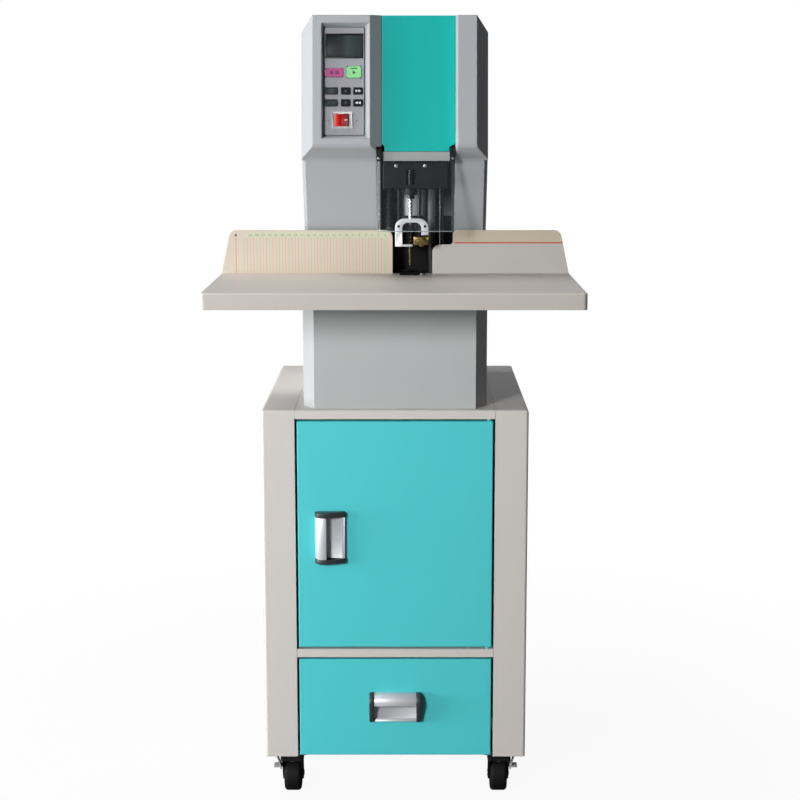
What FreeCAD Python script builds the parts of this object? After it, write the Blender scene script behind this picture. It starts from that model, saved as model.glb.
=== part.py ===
import FreeCAD, Part
import math
import os

from FreeCAD import Vector

os.makedirs("parts", exist_ok=True)

# Sizes are in millimetres. X is to the right, Y to the back and Z up, and the
# origin lies on the floor in the middle of the whole machine.

# Cabinet
cabinet_width = 410.0
cabinet_depth = 415.0
cabinet_height = 558.0
post_width = 51.0
post_return = 30.0
panel_sheet = 2.0
panel_edge_radius = 4.0
panel_seam = 0.3
floor_sheet = 3.0
floor_setback = 18.0
rail_height = 14.0
rail_return = 20.0
shelf_top_height = 177.0
shelf_rail_height = 13.0
caster_height = 81.0

# Door and drawer front
front_thickness = 16.0
front_side_gap = 3.5
front_level_gap = 3.5
drawer_floor_gap = 2.5
front_edge_radius = 1.5
door_pin_radius = 3.0
door_pin_inset = 6.0
door_pin_reach = 8.0
door_pin_root = 6.0
pivot_clearance = 0.05

# Cup handles of the door and the drawer
handle_length = 82.0
handle_width = 46.0
handle_cap_length = 9.5
handle_proud = 15.0
handle_hood_reach = 18.0
handle_wall = 2.0
handle_rim = 5.0
handle_rim_wall = 2.5
handle_cap_lip = 0.6
handle_cap_rim_lip = 1.5
handle_arc_out_share = 0.78
handle_arc_down_share = 0.3
door_handle_inset = 27.0
door_handle_rise = -2.0
drawer_handle_rise = 2.0

# Drawer box and its runners
drawer_box_half_width = 140.0
drawer_box_rear_gap = 45.0
drawer_box_height = 116.0
drawer_box_rise = 9.0
drawer_box_sheet = 1.5
drawer_rail_height = 11.4
drawer_rail_rise = 41.3
slide_clearance = 0.3
runner_sheet = 2.0
runner_flange = 12.0
runner_setback = 20.0

# Casters
caster_spacing = 332.0
caster_front_inset = 43.0
caster_rear_inset = 60.0
caster_trail = 18.0
caster_plate_length = 62.0
caster_plate_width = 52.0
caster_plate_sheet = 3.0
kingpin_radius = 5.0
kingpin_head_radius = 8.0
kingpin_head_height = 4.0
crown_height = 12.0
crown_drop = 5.0
crown_front = 17.0
crown_rear = 24.0
crown_lip = 2.0
wheel_radius = 28.0
wheel_width = 27.0
wheel_tread_radius = 5.5
wheel_side_clearance = 0.5
cheek_sheet = 2.5
cheek_foot_radius = 10.0
axle_radius = 4.0
axle_head_reach = 1.0
axle_clearance = 0.05
head_gap = 0.5
lever_sheet = 2.0
lever_pin_radius = 2.5
lever_pin_rise = 22.0
lever_pin_back = 4.0
lever_boss_radius = 6.0
lever_arm_length = 19.0
lever_arm_height = 6.0
lever_pedal_reach = 10.0
lever_pedal_height = 2.5
lever_pedal_length = 15.0
lever_flap_rise = 23.0
lever_flap_lean = 8.0
lever_flap_length = 10.0

# Base housing and head housing
housing_width = 284.0
housing_face_width = 248.0
housing_chamfer_depth = 29.0
housing_rear_setback = 63.0
housing_wall = 3.0
base_setback = 12.0
column_chamfer_width = 5.0
column_chamfer_depth = 8.0
head_height = 395.0
head_lean = 27.5
head_overhang = 14.0
fold_drop = 196.0
second_fold_drop = 217.0
second_fold_back = 29.0
column_back = 74.0
column_face_height = 68.0
fold_radius = 8.0
second_fold_radius = 25.0
column_fold_radius = 30.0
fold_facets = 6
head_top_chamfer_width = 18.0
head_top_chamfer_height = 25.0
channel_left = -20.0
channel_right = 92.0
channel_recess = 16.0
channel_left_chamfer = 17.0
channel_right_chamfer = 3.0
window_left = -28.0
window_top_gap = 0.5
cover_sheet = 2.5
cover_gap = 0.3
cover_bottom_rise = -7.5
cover_top_depth = 95.0
cover_left_corner = 4.0
cover_right_corner = 8.5
cover_corner_upright = 6.8
cover_corner_height = 11.0
ledge_width = 4.0
ledge_depth = 3.0
ledge_low = 20.0
ledge_high = 175.0
vent_count = 9
vent_length = 46.0
vent_height = 4.0
vent_pitch = 11.0
vent_first_rise = 235.0
vent_centre = 70.0

# Crossbar and clear shield under the front cover
crossbar_height = 14.0
crossbar_sheet = 2.0
crossbar_gap = 0.4
crossbar_left = -19.0
crossbar_right = 83.5
crossbar_setback = 1.0
crossbar_flange = 14.0
crossbar_wing_back = 9.2
hinge_side_gap = 0.4
hinge_bar_gap = 1.0
hinge_drop = 8.0
hinge_out = 16.5
hinge_boss_radius = 6.8
hinge_arm_front = 7.0
hinge_arm_back = 2.0
hinge_pin_radius = 2.0
hinge_pin_reach = 2.5
shield_sheet = 3.0
shield_bottom_z = 909.0
shield_edge_gap = 0.7
shield_return = 13.0
shield_corner_radius = 7.0

# Control panel in its recess
recess_left = -110.0
recess_right = -38.5
recess_low = 12.5
recess_high = 186.0
recess_floor_left = -106.5
recess_floor_right = -46.0
recess_floor_low = 18.5
recess_floor_high = 180.5
recess_depth = 13.0
recess_wall = 2.5
panel_thickness = 4.0
panel_gap = 0.3
display_left = -104.8
display_right = -47.4
display_low = 134.0
display_high = 171.5
display_proud = 0.5
key_proud = 1.6
key_root = 2.2
key_gap = 0.3
key_edge_radius = 0.6
red_key_left = -105.0
red_key_right = -78.0
red_key_low = 106.0
red_key_high = 119.0
green_key_left = -72.0
green_key_right = -50.5
green_key_low = 104.5
green_key_high = 122.5
small_key_height = 10.5
small_key_rows = (85.0, 67.0)
small_key_columns = ((-105.5, -86.0), (-81.0, -67.0), (-62.5, -48.0))
small_key_names = ("key_menu", "key_plus", "key_forward", "key_mode", "key_minus", "key_back")
bezel_centre_x = -79.5
bezel_width = 31.0
bezel_height = 25.0
bezel_centre_rise = 41.0
bezel_proud = 2.0
bezel_wall = 1.5
bezel_lip = 3.0
bezel_back = 15.0
rocker_radius = 12.2
rocker_half_height = 9.3
rocker_pivot_drop = 5.0
rocker_back = 6.0
rocker_crest_share = 0.55
rocker_valley_share = 0.35
rocker_gap = 0.25

# Table and paper fences
table_width = 547.0
table_thickness = 24.0
table_top_z = 839.0
table_overhang = 166.0
table_wing_back = 40.0
table_corner_radius = 6.0
table_edge_radius = 2.5
table_notch_gap = 1.0
die_notch_left = 7.0
die_notch_right = 46.0
die_notch_depth = 33.0
fence_setback = 258.0
fence_sheet = 2.0
fence_height = 68.0
fence_low_height = 45.5
fence_left_end = -4.0
fence_right_start = 58.0
fence_right_step = 90.0
fence_inset = 2.0
fence_slant = 14.0
fence_corner_radius = 12.0
fence_step_radius = 5.0
fence_flange = 30.0

# Drilling and riveting mechanism
drill_x = 24.0
drill_ahead = 20.0
drill_radius = 3.0
drill_bore_radius = 1.8
drill_tip_height = 15.0
drill_top_rise = 119.0
frame_left = -19.0
frame_right = 91.0
frame_back = 99.5
frame_plate = 8.0
frame_top_height = 330.0
frame_top_ahead = 10.5
frame_top_plate = 12.0
frame_rib = 6.0
frame_rib_depth = 40.0
frame_gap = 0.3
guide_rod_back = 10.5
guide_rod_offset = 33.0
guide_rod_radius = 6.0
guide_rod_seat = 6.0
carriage_left = -18.5
carriage_right = 82.0
carriage_front_ahead = 13.5
carriage_back = 26.5
carriage_rise = 134.0
carriage_height = 48.0
carriage_edge_radius = 2.0
carriage_arm_half_width = 22.0
carriage_arm_height = 8.0
carriage_arm_drop = 3.0
carriage_boss_radius = 10.0
carriage_boss_height = 10.0
carriage_window_half_width = 7.0
carriage_window_low = 6.0
carriage_window_high = 29.0
sleeve_radius = 9.5
sleeve_root_radius = 7.5
sleeve_height = 62.0
sleeve_rib_count = 9
sleeve_rib_share = 0.5
sleeve_clearance = 0.5
running_clearance = 0.05
spindle_radius = 8.9
spindle_neck_radius = 5.5
spindle_nose_radius = 6.0
spindle_nose_height = 6.0
pulley_radius = 12.0
pulley_height = 14.0
pulley_rise = 5.0
pulley_flange_radius = 14.5
pulley_flange_height = 1.5
belt_thickness = 2.0
belt_clearance = 0.05
motor_back = 58.5
motor_radius = 25.0
motor_height = 92.0
motor_shaft_radius = 4.0
motor_flange_radius = 14.0
motor_flange_height = 3.0
screw_x = 72.0
screw_radius = 4.0
screw_collar_radius = 7.0
screw_collar_height = 4.0
screw_foot_gap = 8.0
feed_motor_width = 30.0
feed_motor_height = 38.0
feed_motor_edge = 3.0
foot_left = 0.0
foot_right = 51.5
foot_depth = 16.0
foot_lift = 45.0
foot_height = 43.0
foot_leg_width = 11.0
foot_crown = 6.0
foot_shoulder_radius = 15.0
foot_inner_radius = 9.0
foot_pad_height = 3.0
foot_pad_reach = 27.0
foot_short_leg = 17.5
foot_hole_clearance = 0.5
foot_pin_radius = 2.5
foot_pin_left = 6.0
foot_pin_right = 46.0
foot_pin_height = 85.0
rivet_left = 28.5
rivet_right = 51.5
rivet_height = 15.5
rivet_depth = 20.0
rivet_lift = 44.5
rivet_nose_radius = 4.0
rivet_nose_height = 3.0
ram_x = 37.5
ram_radius = 2.5
ram_height = 139.0
die_pad_radius = 4.6
die_pad_depth = 4.0
die_bush_x = 41.0
die_bush_radius = 3.0
die_bush_proud = 2.5
board_left = -18.0
board_right = 82.0
board_thickness = 1.6
board_low = 60.0
board_high = 260.0
board_standoff = 6.0
board_standoff_radius = 3.0
board_standoff_inset = 8.0
board_chip_height = 14.0
board_chip_shares = ((0.12, 0.42, 0.1, 0.3), (0.55, 0.88, 0.12, 0.4), (0.2, 0.8, 0.55, 0.85))
inlet_x = 70.0
inlet_rise = 42.0
inlet_width = 48.0
inlet_height = 28.0
inlet_flange = 3.0
inlet_body_width = 28.0
inlet_body_height = 21.0
inlet_body_depth = 22.0
inlet_socket_depth = 16.0
inlet_socket_wall = 2.5
inlet_pin_radius = 1.6
inlet_pin_length = 12.0

# How far a cutting shape runs past what it cuts
overrun = 5.0

# Places that several pieces share
half_width = cabinet_width / 2
opening_half_width = half_width - post_width
rear_y = (table_overhang + cabinet_depth) / 2
cabinet_front_y = rear_y - cabinet_depth
table_front_y = -rear_y
cabinet_bottom_z = caster_height
cabinet_top_z = cabinet_bottom_z + cabinet_height
rail_bottom_z = cabinet_top_z - rail_height
shelf_top_z = cabinet_bottom_z + shelf_top_height
shelf_bottom_z = shelf_top_z - shelf_rail_height
front_half_width = opening_half_width - front_side_gap
door_low_z = shelf_top_z + front_level_gap
door_high_z = rail_bottom_z - front_level_gap
drawer_low_z = cabinet_bottom_z + drawer_floor_gap
drawer_high_z = shelf_bottom_z - front_level_gap
door_pin_x = front_half_width - door_pin_inset
door_pin_y = cabinet_front_y + door_pin_inset
table_bottom_z = table_top_z - table_thickness
base_front_y = cabinet_front_y + base_setback
housing_rear_y = rear_y - housing_rear_setback
housing_half_width = housing_width / 2
housing_face_half_width = housing_face_width / 2
head_top_z = table_top_z + head_height
fold_z = head_top_z - fold_drop
fold_y = base_front_y + head_overhang
second_fold_z = head_top_z - second_fold_drop
second_fold_y = fold_y + second_fold_back
column_y = fold_y + column_back
column_face_z = table_top_z + column_face_height
frame_back_y = column_y + frame_back
frame_top_front = column_y - frame_top_ahead
guide_rod_y = column_y + guide_rod_back
carriage_back_y = column_y + carriage_back
motor_y = column_y + motor_back
lean_angle = math.atan2(head_lean, fold_drop)
window_top_z = fold_z - window_top_gap
fence_y = table_front_y + fence_setback
drill_y = fence_y - drill_ahead
carriage_z = table_top_z + carriage_rise
carriage_top_z = carriage_z + carriage_height
carriage_front_y = drill_y - carriage_front_ahead
frame_top_z = table_top_z + frame_top_height
guide_rod_xs = (drill_x - guide_rod_offset, drill_x + guide_rod_offset)
cover_bottom_z = fold_z + cover_bottom_rise
hinge_z = fold_z - hinge_drop
hinge_y = fold_y + hinge_out


def box(x_from, x_to, y_from, y_to, z_from, z_to):
    return Part.makeBox(x_to - x_from, y_to - y_from, z_to - z_from, Vector(x_from, y_from, z_from))


def rod_x(x_from, x_to, y, z, radius):
    return Part.makeCylinder(radius, x_to - x_from, Vector(x_from, y, z), Vector(1, 0, 0))


def rod_y(x, y_from, y_to, z, radius):
    return Part.makeCylinder(radius, y_to - y_from, Vector(x, y_from, z), Vector(0, 1, 0))


def rod_z(x, y, z_from, z_to, radius):
    return Part.makeCylinder(radius, z_to - z_from, Vector(x, y, z_from), Vector(0, 0, 1))


def prism(points, sweep):
    return Part.Face(Part.makePolygon(points + [points[0]])).extrude(sweep)


def prism_x(outline, x_from, x_to):
    return prism([Vector(x_from, y, z) for y, z in outline], Vector(x_to - x_from, 0, 0))


def prism_y(outline, y_from, y_to):
    return prism([Vector(x, y_from, z) for x, z in outline], Vector(0, y_to - y_from, 0))


def prism_z(outline, z_from, z_to):
    return prism([Vector(x, y, z_from) for x, y in outline], Vector(0, 0, z_to - z_from))


def middle(edge):
    return edge.BoundBox.Center


def rounded(shape, radius, wanted):
    edges = [edge for edge in shape.Edges if wanted(edge)]
    return shape.makeFillet(radius, edges)


def near(first, second):
    return abs(first - second) < overrun / 100


def upright(edge):
    return edge.BoundBox.XLength + edge.BoundBox.YLength < overrun / 100


def mirrored(shape):
    return shape.mirror(Vector(0, 0, 0), Vector(1, 0, 0))


def save(name, *solids):
    shape = solids[0] if len(solids) == 1 else Part.makeCompound(list(solids))
    shape.exportStep("parts/" + name + ".step")


# Points and boxes on the leaning front plane of the head: across, up along the plane and out of it
def on_face(x, along, out):
    y = fold_y + along * math.sin(lean_angle) - out * math.cos(lean_angle)
    z = fold_z + along * math.cos(lean_angle) + out * math.sin(lean_angle)
    return Vector(x, y, z)


def face_box(x_from, x_to, along_from, along_to, out_from, out_to):
    corners = [(along_from, out_from), (along_to, out_from), (along_to, out_to), (along_from, out_to)]
    points = [on_face(x_from, along, out) for along, out in corners]
    return prism(points, Vector(x_to - x_from, 0, 0))


# Cabinet panels
def side_panel():
    outer_x = -half_width
    inner_x = -opening_half_width
    panel = box(outer_x, inner_x, cabinet_front_y, rear_y, cabinet_bottom_z, cabinet_top_z)

    def shown(edge):
        spot = middle(edge)
        return (near(spot.x, outer_x) and (near(spot.y, cabinet_front_y) or near(spot.z, cabinet_top_z))
                or near(spot.y, cabinet_front_y) and near(spot.z, cabinet_top_z))

    panel = rounded(panel, panel_edge_radius, shown)
    hollow = box(outer_x + panel_sheet, inner_x - panel_sheet, cabinet_front_y + panel_sheet,
                 rear_y - panel_sheet, cabinet_bottom_z - overrun, cabinet_top_z - panel_sheet)
    inner_side = box(inner_x - overrun, inner_x + overrun, cabinet_front_y + post_return,
                     rear_y - panel_sheet, cabinet_bottom_z - overrun, cabinet_top_z - panel_sheet)
    floor_notch = box(inner_x - overrun, inner_x + overrun, cabinet_front_y + panel_sheet,
                      rear_y - panel_sheet, cabinet_bottom_z - overrun, cabinet_bottom_z + floor_sheet)
    return panel.cut(hollow).cut(inner_side).cut(floor_notch)


def top_panel():
    side = opening_half_width - panel_seam
    panel = box(-side, side, cabinet_front_y, rear_y, rail_bottom_z, cabinet_top_z)
    panel = rounded(panel, panel_edge_radius,
                    lambda edge: near(middle(edge).y, cabinet_front_y) and near(middle(edge).z, cabinet_top_z))
    hollow = box(-side - overrun, side + overrun, cabinet_front_y + panel_sheet, rear_y - panel_sheet,
                 rail_bottom_z - overrun, cabinet_top_z - panel_sheet)
    lip = box(-side, side, cabinet_front_y + panel_sheet, cabinet_front_y + rail_return,
              rail_bottom_z, rail_bottom_z + panel_sheet)
    pivot = rod_z(door_pin_x, door_pin_y, rail_bottom_z - overrun, rail_bottom_z + panel_sheet + overrun,
                  door_pin_radius + pivot_clearance)
    return panel.cut(hollow).fuse(lip).cut(pivot).removeSplitter()


def rear_panel():
    side = half_width - panel_sheet - panel_seam
    return box(-side, side, rear_y - 2 * panel_sheet, rear_y - panel_sheet,
               cabinet_bottom_z + floor_sheet, cabinet_top_z - panel_sheet)


def floor_panel():
    side = half_width - panel_sheet
    return box(-side, side, cabinet_front_y + floor_setback, rear_y - panel_sheet,
               cabinet_bottom_z, cabinet_bottom_z + floor_sheet)


def middle_shelf():
    wide = half_width - panel_sheet
    narrow = opening_half_width - panel_seam
    back_y = rear_y - 2 * panel_sheet
    low = shelf_top_z - panel_sheet
    behind_posts = cabinet_front_y + post_return + panel_seam
    shelf = box(-wide, wide, behind_posts, back_y, low, shelf_top_z)
    tongue = box(-narrow, narrow, cabinet_front_y, behind_posts, low, shelf_top_z)
    rail = box(-narrow, narrow, cabinet_front_y, cabinet_front_y + panel_sheet, shelf_bottom_z, shelf_top_z)
    pivot = rod_z(door_pin_x, door_pin_y, low - overrun, shelf_top_z + overrun,
                  door_pin_radius + pivot_clearance)
    return shelf.fuse([tongue, rail]).removeSplitter().cut(pivot)


# Door and drawer
def folded_front(low_z, high_z):
    back_y = cabinet_front_y + front_thickness
    pan = box(-front_half_width, front_half_width, cabinet_front_y, back_y, low_z, high_z)
    pan = rounded(pan, front_edge_radius, lambda edge: near(middle(edge).y, cabinet_front_y))
    inside = front_half_width - panel_sheet
    hollow = box(-inside, inside, cabinet_front_y + panel_sheet, back_y + overrun,
                 low_z + panel_sheet, high_z - panel_sheet)
    return pan.cut(hollow)


def door_panel():
    door = folded_front(door_low_z, door_high_z)
    low_pin = rod_z(door_pin_x, door_pin_y, door_low_z - door_pin_reach,
                    door_low_z + panel_sheet + door_pin_root, door_pin_radius)
    high_pin = rod_z(door_pin_x, door_pin_y, door_high_z - panel_sheet - door_pin_root,
                     door_high_z + door_pin_reach, door_pin_radius)
    return door.fuse([low_pin, high_pin]).removeSplitter()


# One handle lies along X with its hood at the top; v is how far a point stands out of the front
def handle_point(x, v, z):
    return Vector(x, cabinet_front_y - v, z)


def handle_arc(x, start_v, start_z, end_v, end_z):
    halfway_v = start_v + handle_arc_out_share * (end_v - start_v)
    halfway_z = start_z + handle_arc_down_share * (end_z - start_z)
    arc = Part.Arc(handle_point(x, start_v, start_z), handle_point(x, halfway_v, halfway_z),
                   handle_point(x, end_v, end_z))
    return arc.toShape()


def handle_lines(x, corners):
    points = [handle_point(x, v, z) for v, z in corners]
    return Part.makePolygon(points).Edges


def handle_body():
    x = handle_cap_length - handle_length / 2
    top = handle_width / 2
    bottom = -top
    hood_end = top - handle_hood_reach
    inner_v = handle_proud - handle_wall
    edges = [handle_arc(x, 0, top, handle_proud, hood_end)]
    edges += handle_lines(x, [(handle_proud, hood_end), (inner_v, hood_end)])
    edges += [handle_arc(x, handle_wall, top - handle_wall, inner_v, hood_end)]
    edges += handle_lines(x, [(handle_wall, top - handle_wall), (handle_wall, bottom + handle_rim_wall),
                              (handle_rim, bottom + handle_rim_wall), (handle_rim, bottom),
                              (0, bottom), (0, top)])
    outline = Part.Wire(Part.__sortEdges__(edges))
    return Part.Face(outline).extrude(Vector(-2 * x, 0, 0))


def handle_cap():
    x = -handle_length / 2
    top = handle_width / 2 + handle_cap_lip
    bottom = -top
    hood_end = handle_width / 2 - handle_hood_reach
    proud = handle_proud + handle_cap_lip
    edges = [handle_arc(x, 0, top, proud, hood_end)]
    edges += handle_lines(x, [(proud, hood_end), (handle_rim + handle_cap_rim_lip, bottom), (0, bottom), (0, top)])
    outline = Part.Wire(Part.__sortEdges__(edges))
    return Part.Face(outline).extrude(Vector(handle_cap_length, 0, 0))


def handle():
    cap = handle_cap()
    return [handle_body(), cap, mirrored(cap)]


def door_handle():
    pieces = []
    centre_x = -front_half_width + door_handle_inset + handle_width / 2
    centre_z = (door_low_z + door_high_z) / 2 + door_handle_rise
    for piece in handle():
        piece = piece.copy()
        piece.rotate(Vector(0, 0, 0), Vector(0, 1, 0), -90)
        piece.translate(Vector(centre_x, 0, centre_z))
        pieces.append(piece)
    return pieces


def drawer_handle():
    pieces = []
    centre_z = (drawer_low_z + drawer_high_z) / 2 + drawer_handle_rise
    for piece in handle():
        piece = piece.copy()
        piece.translate(Vector(0, 0, centre_z))
        pieces.append(piece)
    return pieces


def drawer_box():
    side = drawer_box_half_width
    front_y = cabinet_front_y + front_thickness
    back_y = rear_y - 2 * panel_sheet - drawer_box_rear_gap
    low_z = drawer_low_z + drawer_box_rise
    high_z = low_z + drawer_box_height
    sheet = drawer_box_sheet
    tray = box(-side, side, front_y, back_y, low_z, high_z)
    tray = tray.cut(box(-side + sheet, side - sheet, front_y + sheet, back_y - sheet,
                        low_z + sheet, high_z + overrun))
    plate_side = front_half_width - slide_clearance
    plate = box(-plate_side, plate_side, front_y, front_y + sheet,
                drawer_low_z + slide_clearance, drawer_high_z - slide_clearance)
    rail_low = cabinet_bottom_z + drawer_rail_rise
    web_x = opening_half_width - runner_sheet - slide_clearance
    rails = [box(side, web_x, front_y + sheet, back_y, rail_low, rail_low + drawer_rail_height)]
    rails.append(mirrored(rails[0]))
    return tray.fuse([plate] + rails).removeSplitter()


def drawer_runner():
    rail_low = cabinet_bottom_z + drawer_rail_rise
    inner_low = rail_low - slide_clearance
    inner_high = rail_low + drawer_rail_height + slide_clearance
    outer_x = opening_half_width
    front_y = cabinet_front_y + runner_setback
    back_y = rear_y - 2 * panel_sheet
    runner = box(outer_x - runner_flange, outer_x, front_y, back_y,
                 inner_low - runner_sheet, inner_high + runner_sheet)
    groove = box(outer_x - runner_flange - overrun, outer_x - runner_sheet, front_y - overrun,
                 back_y + overrun, inner_low, inner_high)
    return runner.cut(groove)


# Casters, each made at its own swivel axis
def caster_mount(x, y):
    top = cabinet_bottom_z
    plate_low = top - caster_plate_sheet
    crown_low = plate_low - crown_drop - crown_height + head_gap
    head_high = crown_low - head_gap
    plate = box(x - caster_plate_width / 2, x + caster_plate_width / 2, y - caster_plate_length / 2,
                y + caster_plate_length / 2, plate_low, top)
    plate = rounded(plate, panel_edge_radius, upright)
    pin = rod_z(x, y, head_high, plate_low, kingpin_radius)
    head = rod_z(x, y, head_high - kingpin_head_height, head_high, kingpin_head_radius)
    return plate.fuse([pin, head]).removeSplitter()


def caster_crown_levels():
    high = cabinet_bottom_z - caster_plate_sheet - crown_drop + head_gap
    return high - crown_height, high


def caster_fork(x, y, lever_side):
    low, high = caster_crown_levels()
    inner = wheel_width / 2 + wheel_side_clearance
    outer = inner + cheek_sheet
    axle_y = y + caster_trail
    crown_side = outer + crown_lip
    crown = box(x - crown_side, x + crown_side, y - crown_front, y + crown_rear, low, high)
    crown = rounded(crown, panel_edge_radius, upright)
    pieces = []
    for side in (-1, 1):
        outline = [(y - crown_front + panel_edge_radius, high - panel_edge_radius),
                   (y + crown_rear - panel_edge_radius, high - panel_edge_radius),
                   (axle_y + cheek_foot_radius, wheel_radius), (axle_y - cheek_foot_radius, wheel_radius)]
        cheek_from = x + side * inner
        cheek_to = x + side * outer
        cheek = prism_x(outline, min(cheek_from, cheek_to), max(cheek_from, cheek_to))
        foot = rod_x(min(cheek_from, cheek_to), max(cheek_from, cheek_to), axle_y, wheel_radius,
                     cheek_foot_radius)
        pieces += [cheek, foot]
    if lever_side:
        pin_from = x + lever_side * outer
        pin_to = pin_from + lever_side * (lever_sheet + head_gap)
        pieces.append(rod_x(min(pin_from, pin_to), max(pin_from, pin_to), y + lever_pin_back,
                            wheel_radius + lever_pin_rise, lever_pin_radius))
    fork = crown.fuse(pieces).removeSplitter()
    fork = fork.cut(rod_z(x, y, low - overrun, high + overrun, kingpin_radius + axle_clearance))
    fork = fork.cut(rod_x(x - outer - overrun, x + outer + overrun, axle_y, wheel_radius, axle_radius))
    axle = rod_x(x - outer - axle_head_reach, x + outer + axle_head_reach, axle_y, wheel_radius, axle_radius)
    return [fork, axle]


def caster_wheel(x, y):
    axle_y = y + caster_trail
    wheel = rod_x(x - wheel_width / 2, x + wheel_width / 2, axle_y, wheel_radius, wheel_radius)
    wheel = wheel.makeFillet(wheel_tread_radius, [edge for edge in wheel.Edges if len(edge.Vertexes) == 1])
    return wheel.cut(rod_x(x - wheel_width, x + wheel_width, axle_y, wheel_radius,
                           axle_radius + axle_clearance))


def brake_lever(x, y, side):
    cheek_x = x + side * (wheel_width / 2 + wheel_side_clearance + cheek_sheet + slide_clearance)
    plate_x = cheek_x + side * lever_sheet
    pedal_x = plate_x + side * lever_pedal_reach
    pin_y = y + lever_pin_back
    pin_z = wheel_radius + lever_pin_rise
    low_x, high_x = min(cheek_x, plate_x), max(cheek_x, plate_x)
    boss = rod_x(low_x, high_x, pin_y, pin_z, lever_boss_radius)
    arm = box(low_x, high_x, pin_y - lever_arm_length, pin_y, pin_z - lever_arm_height / 2,
              pin_z + lever_arm_height / 2)
    pedal_top = pin_z + lever_arm_height / 2
    pedal_front = pin_y - lever_arm_length
    pedal = box(min(cheek_x, pedal_x), max(cheek_x, pedal_x), pedal_front, pedal_front + lever_pedal_length,
                pedal_top - lever_pedal_height, pedal_top)
    flap_x = plate_x + side * lever_flap_lean
    flap_top = pedal_top + lever_flap_rise
    flap = prism_y([(cheek_x, pedal_top - lever_pedal_height), (plate_x, pedal_top - lever_pedal_height),
                    (flap_x, flap_top), (flap_x - side * lever_sheet, flap_top)],
                   pedal_front, pedal_front + lever_flap_length)
    lever = boss.fuse([arm, pedal, flap]).removeSplitter()
    return lever.cut(rod_x(low_x - overrun, high_x + overrun, pin_y, pin_z, lever_pin_radius + axle_clearance))


# Housing outlines
def housing_plan(inset):
    half = housing_half_width - inset
    corner = math.hypot(housing_half_width - housing_face_half_width, housing_chamfer_depth)
    slope = (housing_half_width - housing_face_half_width) / housing_chamfer_depth
    front = base_front_y + inset
    back = housing_rear_y - inset
    shift = inset * corner / housing_chamfer_depth
    face_half = housing_face_half_width - shift + inset * slope
    chamfer_y = front + (half - face_half) / slope
    return [(-half, back), (-half, chamfer_y), (-face_half, front), (face_half, front),
            (half, chamfer_y), (half, back)]


def base_housing():
    outside = prism_z(housing_plan(0), cabinet_top_z, table_bottom_z)
    inside = prism_z(housing_plan(housing_wall), cabinet_top_z - overrun, table_bottom_z - housing_wall)
    inlet_z = cabinet_top_z + inlet_rise
    socket = box(inlet_x - inlet_body_width / 2 - panel_gap, inlet_x + inlet_body_width / 2 + panel_gap,
                 housing_rear_y - housing_wall - overrun, housing_rear_y + overrun,
                 inlet_z - inlet_body_height / 2 - panel_gap, inlet_z + inlet_body_height / 2 + panel_gap)
    return outside.cut(inside).cut(socket)


def head_profile(inset):
    rear = housing_rear_y - housing_wall
    outline = [(fold_y + head_lean, head_top_z), (fold_y, fold_z), (second_fold_y, second_fold_z),
               (column_y, column_face_z), (column_y, table_bottom_z), (rear, table_bottom_z), (rear, head_top_z)]
    if inset == 0:
        eased = []
        for index, radius in ((1, fold_radius), (2, second_fold_radius), (3, column_fold_radius)):
            eased += eased_corner(outline[index - 1], outline[index], outline[index + 1], radius)
        return outline[:1] + eased + outline[4:]
    points = []
    for index, (y, z) in enumerate(outline):
        before = outline[index - 1]
        after = outline[(index + 1) % len(outline)]
        points.append(inset_corner(before, (y, z), after, inset))
    # the shells stay open at the back and at the bottom
    points[4] = (points[4][0], table_bottom_z - overrun)
    points[5] = (rear + overrun, table_bottom_z - overrun)
    points[6] = (rear + overrun, points[6][1])
    return points


# The short runs of an arc that takes the sharpness off a fold
def eased_corner(before, corner, after, radius):
    first = math.atan2(corner[1] - before[1], corner[0] - before[0])
    second = math.atan2(after[1] - corner[1], after[0] - corner[0])
    turn = (second - first + math.pi) % math.tau - math.pi
    reach = radius * math.tan(abs(turn) / 2)
    chord = 2 * radius * math.sin(abs(turn) / fold_facets / 2)
    y = corner[0] - reach * math.cos(first)
    z = corner[1] - reach * math.sin(first)
    points = [(y, z)]
    for index in range(fold_facets):
        heading = first + turn * (index + 1 / 2) / fold_facets
        y += chord * math.cos(heading)
        z += chord * math.sin(heading)
        points.append((y, z))
    return points


def inset_corner(before, corner, after, inset):
    def normal(start, end):
        length = math.hypot(end[0] - start[0], end[1] - start[1])
        return (-(end[1] - start[1]) / length, (end[0] - start[0]) / length)

    first = normal(before, corner)
    second = normal(corner, after)
    scale = inset / (1 + first[0] * second[0] + first[1] * second[1])
    return (corner[0] + scale * (first[0] + second[0]), corner[1] + scale * (first[1] + second[1]))


# A wedge that leans with the front plane and takes off what lies outside the line from start to end
def leaning_wedge(start, end, inset, from_z):
    length = math.hypot(end[0] - start[0], end[1] - start[1])
    along = ((end[0] - start[0]) / length, (end[1] - start[1]) / length)
    out = (along[1], -along[0])
    reach = housing_chamfer_depth + overrun

    def at(point, run, aside):
        return (point[0] + run * along[0] + aside * out[0], point[1] + run * along[1] + aside * out[1])

    outline = [at(start, -reach, -inset), at(end, reach, -inset), at(end, reach, reach), at(start, -reach, reach)]
    rise = head_top_z + overrun - from_z
    drop = (fold_z - from_z) * math.tan(lean_angle)
    points = [Vector(x, y - drop, from_z) for x, y in outline]
    return prism(points, Vector(0, rise * math.tan(lean_angle), rise))


def shell_solid(x_from, x_to, inset, wedges):
    solid = prism_x(head_profile(inset), x_from, x_to)
    for start, end, from_z in wedges:
        solid = solid.cut(leaning_wedge(start, end, inset, from_z))
    return solid


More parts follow.
